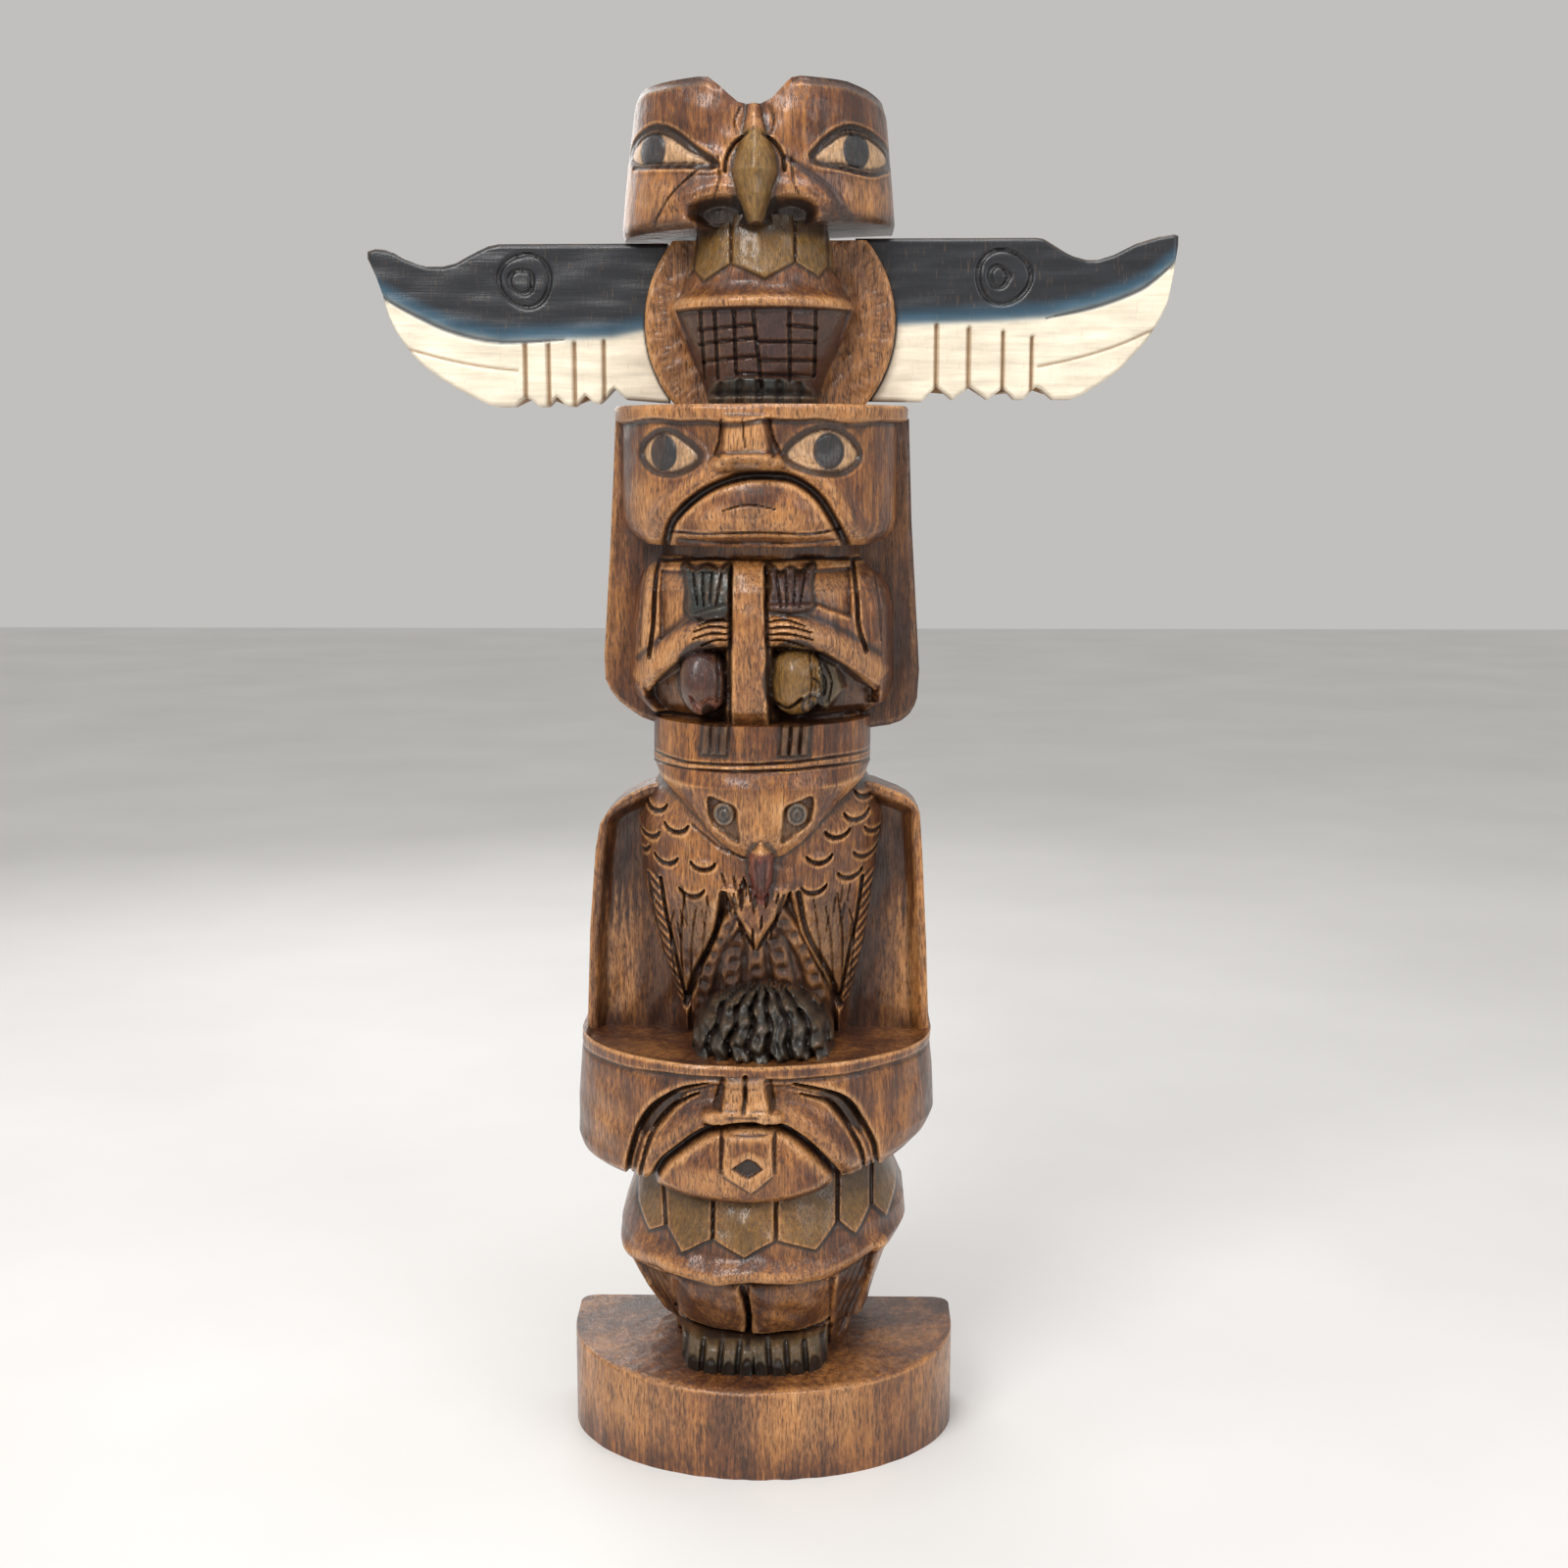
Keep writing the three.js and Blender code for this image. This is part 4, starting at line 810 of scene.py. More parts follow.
def carveBird():
    skin = skinOf(bird)
    x, z = skin["x"], skin["z"]
    # the breast swells between the folded wings; below it the wings part over the tail
    skin["f"] = skin["f"] + 4.0 * np.exp(-((x - 2) / 26) ** 2 - ((z - 350) / 24) ** 2)
    for cx in (-50, 52):
        skin["f"] = skin["f"] + 2.5 * np.exp(-((x - cx) / 15) ** 2 - ((z - 364) / 20) ** 2)
    under = insideBy(x, z, [(-20, 345), (-3, 309), (17, 345), (24, 318), (45, 272), (45, 246), (-45, 246), (-45, 272), (-28, 318)])
    step(skin, under, -8.5, 4)
    breast = insideBy(x, z, [(-24, 352), (-19, 332), (-3, 308), (14, 332), (20, 352)])
    skin["f"] = skin["f"] + 3.6 * ease(breast / 5) * ease((356 - z) / 14)
    dice = np.random.default_rng(21)
    for k in range(40):
        cx, cz = dice.uniform(-24, 21), dice.uniform(316, 358)
        if abs(cx + 2) < (cz - 304) * 0.5:
            tall = dice.uniform(7, 13)
            groove(skin, [(cx, cz), (cx - (cx + 2) * 0.14, cz - tall)], 2.6, 2.0, 0.9, 0.3)
    # folded wings: broad panels between cut edges, scored along the feathers
    for side in (-1, 1):
        inner = smoothPath([(side * 22, 344), (side * 27, 318), (side * 40, 290), (side * 47, 266)])
        outer = [(side * 66, 348), (side * 62.5, 322), (side * 58, 300), (side * 53, 272)]
        groove(skin, inner, 5.5, 5.5, 1.0)
        groove(skin, smoothPath([(a - side * 6.0, b) for a, b in outer]), 3.6, 3.6, 1.0)
        groove(skin, smoothPath([(a + side * 3.0, b) for a, b in outer]), 3.2, 3.0, 0.95)
        # rope-like shaft: slanted cuts between the two lines
        rope = ease(1.4 - pathGap(x, z, smoothPath([(a - side * 1.5, b) for a, b in outer]))[0] / 3.8)
        twist = 0.5 + 0.5 * np.sin((z - side * x * 0.8) * 6.28 / 6.2)
        skin["f"] = skin["f"] + (2.2 - 2.4 * twist) * rope
        skin["dark"] = np.maximum(skin["dark"], 0.95 * ease((twist - 0.5) / 0.35) * rope)
        for shift, deep, top in ((10, 1.4, 340), (17, 1.6, 334), (24, 2.0, 341), (31, 1.6, 330)):
            strokes = [(side * (21 + shift), top), (side * (24 + shift), 314), (side * (30 + shift * 0.75), 282)]
            groove(skin, smoothPath(strokes), 2.4, deep, 0.8, 0.3)
        # rows of nicks where the small feathers end
        for k in range(7):
            cx, cz = side * dice.uniform(30, 56), dice.uniform(322, 348)
            groove(skin, [(cx, cz), (cx - side * 1.5, cz - 11)], 2.2, 1.5, 0.8, 0.3)
        panel = np.minimum(11 - np.abs(np.abs(x) - 41 + (z - 310) * 0.06), np.minimum(z - 276, 342 - z))
        skin["dark"] = np.maximum(skin["dark"], 0.5 * ease(panel / 5 + 0.6))
        shine(skin, ovalBy(x, z, side * 38, 318, 8, 17), 0.5, 6)
        for k in range(4):
            groove(skin, [(side * (70.5 - k * 0.6), 300 + k * 16), (side * (66.5 - k * 0.6), 284 + k * 16)], 2.2, 1.6, 0.8, 0.4)
    # tail feathers fan out from under the breast, each with a ladder of short cuts, the ladders and the feathers' edges
    # darkened as painted shade
    for foot, top in ((-37, -13), (-20, -7.5), (-3, -3), (15, 2.5), (35, 10)):
        path = smoothPath([(top, 332), ((foot + top) / 2 + foot * 0.10, 306), (foot, 274), (foot * 1.02, 255)])
        gap, place = pathGap(x, z, path)
        wide = 5.6 + 1.5 * place
        body = ease(1.35 - gap / wide) * ease((under - 0.5) / 2)
        skin["f"] = skin["f"] + 4.6 * body
        rung = 0.5 + 0.5 * np.sin(place * 6.28 * 8 + foot)
        inLadder = ease(1.2 - gap / (wide * 0.62)) * body
        skin["f"] = skin["f"] - 2.0 * rung * inLadder
        skin["dark"] = np.maximum(skin["dark"], 0.9 * ease((rung - 0.45) / 0.4) * inLadder)
        stainAndShade(skin, np.where(under > 1, 1.5 - np.abs(gap - wide), -5), 0.9, 2)
    # painted shade in the space under the breast, between the parted wings
    skin["dark"] = np.maximum(skin["dark"], 0.45 * ease(under / 6))
    # crescent cuts of the shoulder feathers, each lip raised above the next
    for cx, cz in bird["scales"]:
        sweep = np.radians(np.linspace(195, 345, 9))
        crescent = np.stack([cx + 7.8 * np.cos(sweep), cz + 5.0 + 6.4 * np.sin(sweep)], 1)
        lip = ovalBy(x, z, cx, cz + 5.0, 8.6, 7.4)
        skin["f"] = skin["f"] + 2.2 * ease(lip / 6) * ease((cz + 9 - z) / 12)
        groove(skin, crescent, 4.2, 3.6, 1.0, 0.35)
    # head: an upturned cone whose face stands ahead of the breast, with painted shade round its edge
    headHalf = along(z, [(h[0], h[1]) for h in bird["head"]])
    headSide = along(z, [(h[0], h[2]) for h in bird["head"]])
    reach = np.clip(1 - (x / headHalf) ** 2, 0, 1)
    headIn = (np.abs(x) < headHalf) & (z > 362)
    hidden = np.where(headIn, headSide + 1.015 * headHalf * np.sqrt(reach), 0)
    onHead = hidden - skin["f"]
    skin["dark"] = skin["dark"] * (1 - ease(onHead / 2)) + 0.95 * np.exp(-((onHead + 1.2) / 1.8) ** 2) * (z > 360)
    skin["f"] = blendMax(skin["f"], hidden, 1.2)
    # eyes: a leaf-shaped cut with a ringed ball in it
    for cx, turn in ((-21, 1), (21.4, -1)):
        leaf = insideBy(x, z, smoothPath([(cx - turn * 9, 402), (cx - turn * 1, 400.5), (cx + turn * 7, 397), (cx + turn * 8.2, 388), (cx + turn * 9, 376),
                                          (cx - turn * 1, 382), (cx - turn * 7.5, 388)], 4, True))
        step(skin, leaf, -4.2, 2)
        stainAndShade(skin, leaf, 0.75, 2)
        ball = ovalBy(x, z, cx, 392.6, 6.0, 6.8)
        skin["f"] = skin["f"] + 4.6 * np.sqrt(np.clip(1 - np.hypot((x - cx) / 6.4, (z - 392.6) / 7.2) ** 2, 0, 1))
        skin["dark"] = skin["dark"] * (1 - ease(ball / 1.0 + 0.5))
        ring = 1.0 - np.abs(ovalBy(x, z, cx, 392.6, 3.4, 4.0))
        colour(skin, ball, paints["grey"], 0.9)
        step(skin, ring, -0.9, 1)
        colour(skin, ring, paints["black"], 0.9)
        colour(skin, ovalBy(x, z, cx, 392.6, 2.0, 2.4), paints["pupil"], 0.9)
    # painted highlight on the face of the head
    shine(skin, np.where(onHead > 1, 22 - np.hypot(x, (z - 380) * 1.3) * 0.7, -5), 0.42, 14)
    groove(skin, [(-40, 384), (-24, 371.5), (-9, 366.5)], 2.2, 1.6, 0.7)
    # beak, with painted shade round its foot
    beakHalf = along(z, [(338, 1.5), (345, 4.8), (357, 6.8), (366, 7.2), (372, 6.0), (377, 3.0)])
    beakTop = along(z, [(338, 89), (345, 96), (357, 102), (366, 105), (372, 104), (378, 99)])
    beakIn = np.where((z > 337.5) & (z < 378), beakHalf - np.abs(x - 0.7), -9)
    beak = np.where(beakIn > 0, beakTop - 10 * (np.abs(x - 0.7) / beakHalf) ** 1.6, 0)
    stainAndShade(skin, np.where(beakIn < 0, beakIn + 2.5, -5), 0.85, 2)
    skin["f"] = blendMax(skin["f"], beak, 0.8)
    colour(skin, np.minimum(beakIn + 0.4, np.minimum(371 - z, z - 339)), paints["red"], 0.95)
    skin["dark"] = skin["dark"] * (1 - ease(beakIn / 1.5))
    colour(skin, np.minimum(beakIn - 4.4, np.minimum(368 - z, z - 345)), paints["maroon"], 0.7)
    groove(skin, [(-2.4, 368), (-1.4, 347)], 1.8, 1.6, 0.8)
    groove(skin, [(3.8, 368), (2.6, 347)], 1.8, 1.6, 0.8)
    # feet: a mound of knuckled toes on the ledge, spreading forward, with painted shade between toes and knuckles and a
    # painted highlight on the knuckles
    moundHalf = along(z, [(246, 43), (258, 42), (268, 38), (277, 31), (284, 20), (288, 4)])
    moundTop = along(z, [(246, 107), (256, 108), (266, 103), (276, 94), (284, 86), (288, 78)])
    offset = (x - 1) / moundHalf
    moundIn = np.where(z < 288, moundHalf - np.abs(x - 1), -20)
    mound = np.where(moundIn > 0, moundTop - 34 * (1 - np.sqrt(np.clip(1 - np.abs(offset) ** 2.6, 0, 1))), 0)
    slot = (offset + 1) * 3.6 + 0.12 * np.sin(z / 3.1)
    across = np.abs(slot % 1 - 0.5) * 2
    number = np.floor(slot)
    knuckle = 0.5 + 0.5 * np.cos((z + 3.1 * np.sin(number * 2.4)) * 6.28 / (10.5 + 1.5 * np.sin(number * 1.7)))
    lump = handCut(x, z, 51, 7, 1.6)
    mound = np.where(mound > 0, mound - 6.5 * ease((across - 0.42) / 0.55) - 3.4 * knuckle + lump, 0)
    onMound = mound - skin["f"]
    skin["f"] = blendMax(skin["f"], mound, 1.5)
    cover = ease(onMound / 2)
    skin["dark"] = skin["dark"] * (1 - 0.8 * cover)
    colour(skin, onMound, paints["green"], 0.92, 3)
    skin["dark"] = np.maximum(skin["dark"], cover * (0.85 * ease((across - 0.5) / 0.4) + 0.6 * ease((knuckle - 0.55) / 0.4)))
    skin["glow"] = np.maximum(skin["glow"], 0.22 * cover * ease((0.3 - knuckle) / 0.3) * ease((0.5 - across) / 0.4))
    skin["f"] = skin["f"] + handCut(x, z, 13, 15, 0.6) * (1 - 0.7 * ease(onHead / 3))
    settleStainAndShade(skin)
    return shellOf(skin, bird)


# ---------- fish catcher on the perch

perch = {
    "low": 416.8, "high": 444, "rows": 32, "columns": 190, "walls": 6, "back": 0.4,
    "left": [(416, -65.5), (444, -65)], "right": [(416, 64.5), (444, 65)],
    "side": [(416, 30), (444, 30)], "arc": [(416, 66), (444, 66)],
    "lines": [[(-66, 418), (-45, 417.4), (-36, 417.6), (0, 418.4), (40, 419.5), (66, 418.3)], [(-66, 423.6), (-45, 421.6), (-36, 421.4), (0, 422.4), (40, 424.4), (66, 424.2)]],
    "toes": (-31, -25.8, -20.8, 14.2, 20, 25.8),
}

catcherBoard = {
    "low": 436, "high": 618, "rows": 136, "columns": 138, "walls": 8, "fan": 0.0, "back": 0.2, "corner": 3,
    "left": [(464, -94), (480, -94.5), (545, -90), (620, -86)], "right": [(455, 92.5), (470, 93.5), (560, 88), (620, 86)],
    "sole": [(-94.5, 466), (-91, 458), (-86, 451.5), (-79, 446), (-72, 441.5), (-60, 437), (62, 435.5), (76, 437.5), (83, 440), (88, 444), (91.5, 450), (93.5, 458)],
    "side": [(436, 35), (618, 35)], "arc": [(436, 0), (618, 0)],
}

catcher = {
    "low": 442, "high": 549, "rows": 126, "columns": 284, "walls": 4, "back": 4,
    "left": [(441, -56), (444, -62), (448, -69.4), (455, -75.5), (463.5, -79.6), (495, -78.6), (520, -75.5), (529, -72), (535, -64), (539, -60), (549, -60)],
    "right": [(441, 54), (445, 61), (452, 73), (459, 77), (468, 79), (508, 77.9), (520, 75.5), (527, 71), (534.6, 61), (539, 58), (549, 59)],
    "side": [(441, 26), (549, 26)], "arc": [(441, 57), (452, 69), (476, 73.5), (520, 69.5), (534, 62), (540, 56), (549, 57)],
    "armLeft": [(-79, 450), (-73, 465), (-56, 482.5), (-38, 494.5), (-24, 498.5), (-17, 498.8)],
    "armRight": [(79, 452), (72, 467), (55, 482.5), (38, 493.5), (20, 498.5), (7, 499)],
    "armWide": [(0, 8.0), (0.2, 8.8), (0.6, 8.0), (0.8, 9.6), (1, 9.4)],
    "armRise": [(0, -7.0), (0.12, -3.0), (0.3, 0.4), (0.6, 2.6), (0.85, 5.5), (1, 4.5)],   # above the body's own section
}


def carvePerch():
    skin = skinOf(perch)
    x, z = skin["x"], skin["z"]
    for points in perch["lines"]:
        groove(skin, smoothPath(points), 2.6, 2.0, 1.0)
    for cx in perch["toes"]:
        toe = np.minimum(2.5 - np.abs(x - cx - 0.08 * (z - 434)), np.minimum(z - 427, 447 - z))
        stainAndShade(skin, toe + 1.8, 0.95, 1.4)
        skin["f"] = skin["f"] + 3.6 * ease(toe / 2.0 + 0.4)
        skin["dark"] = skin["dark"] * (1 - 0.5 * ease(toe - 0.6))
        colour(skin, toe, paints["black"], 0.5)
    skin["f"] = skin["f"] + handCut(x, z, 31, 22, 0.45)
    settleStainAndShade(skin, 4)
    return shellOf(skin, perch)


def carveCatcherBoard():
    skin = skinOf(catcherBoard)
    x, z = skin["x"], skin["z"]
    left, right = along(z, catcherBoard["left"]), along(z, catcherBoard["right"])
    edge = np.minimum(np.minimum(x - left, right - x), (z - skin["sole"]) * 0.8)
    skin["f"] = skin["f"] - 1.6 * ease((2.2 - edge) / 2.2) + handCut(x, z * 0.3, 14, 12, 0.4)
    settleStainAndShade(skin, 4, 0.7)
    # painted highlight on the left rim; painted shade on the board's sides, heaviest on the right
    skin["glow"] = np.maximum(skin["glow"], 0.75 * ease((2.4 - edge) / 2.0) * ease((x + 60) / -20))
    skin["dark"] = np.maximum(skin["dark"], 0.55 * ease((x - 40) / 20) + 0.22 * ease((-40 - x) / 10))
    return shellOf(skin, catcherBoard)


def carveCatcher():
    skin = skinOf(catcher)
    x, z = skin["x"], skin["z"]
    # collar above the shoulders, with painted shade under the face above
    skin["f"] = skin["f"] - 3.0 * ease((z - 537.5) / 2.5)
    groove(skin, smoothPath([(-62, 536), (-30, 538.5), (0, 537.6), (30, 538.8), (60, 537)]), 3.4, 2.6, 1.0)
    skin["dark"] = np.maximum(skin["dark"], 0.45 * ease((z - 538.5) / 2))
    chest = insideBy(x, z, [(-58, 531), (52, 533), (52, 505), (30, 514), (-20, 514), (-40, 507), (-58, 492)])
    step(skin, chest, -4.5, 3)
    shine(skin, chest - 3, 0.4, 8)
    # hollows under the forearms, inside the rounded rim of the elbows and flanks, darkened as painted shade
    flankLeft = [(-69, 465), (-49, 480), (-35, 488), (-17, 490), (-17, 440), (-52, 440), (-61, 446), (-68, 455)]
    flankRight = [(69, 463), (48, 479), (29, 490), (5, 490), (5, 440), (48, 440), (60, 445), (69, 452)]
    for outline in (flankLeft, flankRight):
        inside = insideBy(x, z, outline)
        step(skin, inside - 2, -19, 8)
        stainAndShade(skin, inside - 1, 0.62, 8)
    # forearms follow the body's section and lift towards the hands, with a painted highlight along them and painted
    # shade under their lower edge
    for path, side in ((catcher["armLeft"], -1), (catcher["armRight"], 1)):
        gap, place = pathGap(x, z, smoothPath(path))
        wide = along(place, catcher["armWide"])
        crown = np.sqrt(np.clip(1 - (gap / wide) ** 2, 0, 1))
        arm = np.where(gap < wide, skin["base"] + along(place, catcher["armRise"]) - 10 * (1 - crown), 0)
        onArm = ease((arm - skin["f"]) / 2) * (gap < wide)
        skin["dark"] = skin["dark"] * (1 - onArm)
        skin["f"] = blendMax(skin["f"], arm, 1.2)
        shine(skin, np.where((place > 0.2) & (place < 0.85), wide * 0.6 - gap, -3), 0.6, 6)
        stainAndShade(skin, np.where(place > 0.3, 1.6 - np.abs(gap - wide - 0.6), -4), 0.9, 2)
        # long thin fingers
        tip = -16.5 if side < 0 else 4.5
        for rise, start in ((5.2, 34), (1.4, 38), (-2.4, 38), (-6.0, 33)):
            begin = side * start if side < 0 else start - 8
            finger = [(begin, 496.2 + rise), ((begin + tip) / 2, 499.8 + rise), (tip, 499.2 + rise * 0.9)]
            groove(skin, smoothPath(finger), 2.0, 2.6, 1.0, 0.5)
        stainAndShade(skin, 1.8 - np.abs(x - tip) - np.maximum(0, np.abs(z - 499) - 8), 0.9, 1.5)
    # upper arms: a crease divides them from the chest
    for points in ([(-60.3, 534), (-61.5, 515), (-62.5, 498), (-65, 481)], [(53, 536), (55.5, 515), (56.5, 500), (61, 485)]):
        groove(skin, smoothPath(points), 4.0, 4.0, 0.95)
    for points in ([(-68, 531), (-70, 510), (-71, 486)], [(66, 528), (69, 510), (70, 490)]):
        groove(skin, smoothPath(points), 3.0, 1.6, 0.6, 0.3)
        gap = pathGap(x, z, [(a * 0.955, b) for a, b in points])[0]
        skin["f"] = skin["f"] + 2.2 * ease(1 - gap / 4.5)
    # painted highlight down the left upper arm
    shine(skin, np.where(x < 0, 3 - pathGap(x, z, [(-65.5, 528), (-67, 500), (-69, 484)])[0], -5), 0.75, 4)
    # fish tails held against the chest
    leftTail = smoothPath([(-43.5, 534.5), (-41, 520), (-40.5, 507), (-19, 507), (-17.5, 520), (-16.8, 534.5), (-23, 531.5), (-30, 534.5), (-37, 531.5)], 4, True)
    rightTail = smoothPath([(4.7, 535), (7, 524), (6, 511), (29, 511), (28.5, 524), (30, 535), (23, 529.5), (17.5, 533), (11.5, 529.5)], 4, True)
    for tone, outline, cx in (("green", leftTail, -30), ("maroon", rightTail, 17.5)):
        inside = insideBy(x, z, outline)
        step(skin, inside, 4.2, 2)
        colour(skin, inside, paints[tone], 0.96)
        for k in (-7.5, -2.5, 2.5, 7.5):
            groove(skin, [(cx + k * 1.1, 531), (cx + k * 0.7, 512)], 2.2, 2.0, 0.5, 0.3)
        stainAndShade(skin, 1.4 - np.abs(inside + 1.2), 1.0, 1.4)
    # post between the fish, flush with the tails
    post = insideBy(x, z, [(-15.7, 538), (1.9, 538), (5.7, 440), (-16, 440)])
    skin["f"] = skin["f"] + (skin["base"] - 1.0 - skin["f"]) * ease(post / 3 + 0.7)
    skin["dark"] = skin["dark"] * (1 - ease(post / 1.5))
    shine(skin, post - 1, 0.3, 3)
    for top, bottom in (((-16.5, 534), (-17.2, 441)), ((3.4, 534), (6.0, 441))):
        groove(skin, [top, bottom], 3.4, 4.2, 1.0)
    # fish heads
    for cx, cz, rx, rz, top, tone in ((-32.7, 469, 14.2, 20.5, 98, "maroon"), (20.2, 470, 15.8, 21, 99, "ochre")):
        reach = np.clip(1 - ((x - cx) / rx) ** 2 - ((z - cz) / rz) ** 2, 0, 1)
        ball = np.where(reach > 0, top - 19 + 19 * np.sqrt(reach), 0)
        inside = ovalBy(x, z, cx, cz, rx, rz)
        skin["dark"] = skin["dark"] * (1 - ease(inside / 2) * ease((ball - skin["f"]) / 2))
        skin["f"] = blendMax(skin["f"], ball, 1.0)
        colour(skin, inside, paints[tone], 0.8 if tone == "ochre" else 0.92)
        stainAndShade(skin, 1.6 - np.abs(inside + 1.2), 1.0, 1.6)
        groove(skin, smoothPath([(cx + 8, cz + 16), (cx + 9.5, cz), (cx + 8, cz - 12)]), 2.0, 1.8, 0.85)
    mouth = insideBy(x, z, smoothPath([(-40, 462), (-34, 457), (-29, 460.5), (-22, 458.5), (-20, 462), (-24, 452), (-30, 446), (-36, 451)], 4, True))
    step(skin, mouth, -4, 2)
    colour(skin, mouth + 0.6, (0.34, 0.14, 0.095), 0.95)
    skin["dark"] = skin["dark"] * (1 - ease(mouth / 1.0 + 0.5))
    stainAndShade(skin, ovalBy(x, z, -30, 451.5, 4.0, 5.5), 1.0, 2)
    fin = insideBy(x, z, [(33, 483), (44, 477), (48.5, 463), (38, 451), (31, 456), (34, 468)])
    step(skin, fin, 10, 4)
    skin["dark"] = skin["dark"] * (1 - 0.8 * ease(fin / 2))
    colour(skin, fin, paints["olive"], 0.85)
    for shift in (0, 3.5, 7):
        groove(skin, smoothPath([(37 - shift, 479 - shift), (41 - shift, 468), (39 - shift, 456)]), 1.8, 1.6, 0.9)
    step(skin, ovalBy(x, z, 30, 456, 7, 8), 3, 3)
    stainAndShade(skin, 1.2 - np.abs(ovalBy(x, z, 30, 456, 5.4, 6.4)), 1.0, 1)
    stainAndShade(skin, ovalBy(x, z, 30, 456, 2.6, 3.4), 1.0, 1.5)
    groove(skin, smoothPath([(9, 457), (16, 454.5), (24, 460)]), 3.0, 3.6, 1.0)
    # legs end at the perch
    groove(skin, smoothPath([(-62, 446), (-40, 446), (-20, 445)]), 3.0, 2.6, 0.9)
    groove(skin, smoothPath([(8, 445), (30, 446.5), (60, 446)]), 3.0, 2.6, 0.9)
    skin["f"] = np.maximum(skin["f"] + handCut(x, z, 17, 18, 0.6), 30)
    settleStainAndShade(skin)
    return shellOf(skin, catcher)


# ---------- the catcher's face under its brim

face = {
    "low": 546, "high": 625, "rows": 100, "columns": 306, "walls": 10, "back": 0.0, "lean": 0,
    "left": [(546, -69), (549, -75.5), (554, -79.5), (561, -82), (568, -82.5), (615, -82.3), (617, -86), (623.5, -86.2), (625, -85)],
    "right": [(546, 67), (549.5, 74), (554, 77.6), (560, 79.3), (615, 79.5), (617, 85), (623.5, 85.6), (625, 84.4)],
    "side": [(546, 28), (625, 28)], "arc": [(546, 70), (552, 75), (560, 77), (616, 77), (625, 77)],
    "frown": [(-56, 541), (-53.2, 549.2), (-47.6, 562), (-31.8, 576), (-13.9, 584), (1, 586), (18.4, 584), (32.3, 574.7), (41, 562), (48.8, 547), (50, 541)],
}


# almond with the pupil in it; pupil = (x, z, half width, half height)
def carveEye(skin, almond, pupil, deep=2.2, white=0.55):
    x, z = skin["x"], skin["z"]
    outline = smoothPath(almond, 5, True)
    inside = insideBy(x, z, outline)
    lid = np.abs(inside + 1.6)
    skin["f"] = skin["f"] - deep * ease(inside / 2.2 + 0.8) + 0.9 * ease(1 - np.abs(inside + 4.4) / 2.6)
    swell(skin, inside - 0.5, deep * 0.85, 8)
    stainAndShade(skin, 1.9 - lid, 0.95, 1.4)
    colour(skin, inside, paints["bare"], white)
    iris = np.minimum(ovalBy(x, z, *pupil), inside + 0.6)
    skin["f"] = skin["f"] + 0.8 * ease(iris / 2)
    colour(skin, iris, paints["pupil"], 0.98)
    shine(skin, np.where(iris > 0, -4, inside), 0.5, 2)
    skin["dark"] = skin["dark"] * (1 - ease(iris / 1.2 + 0.5))
    return inside


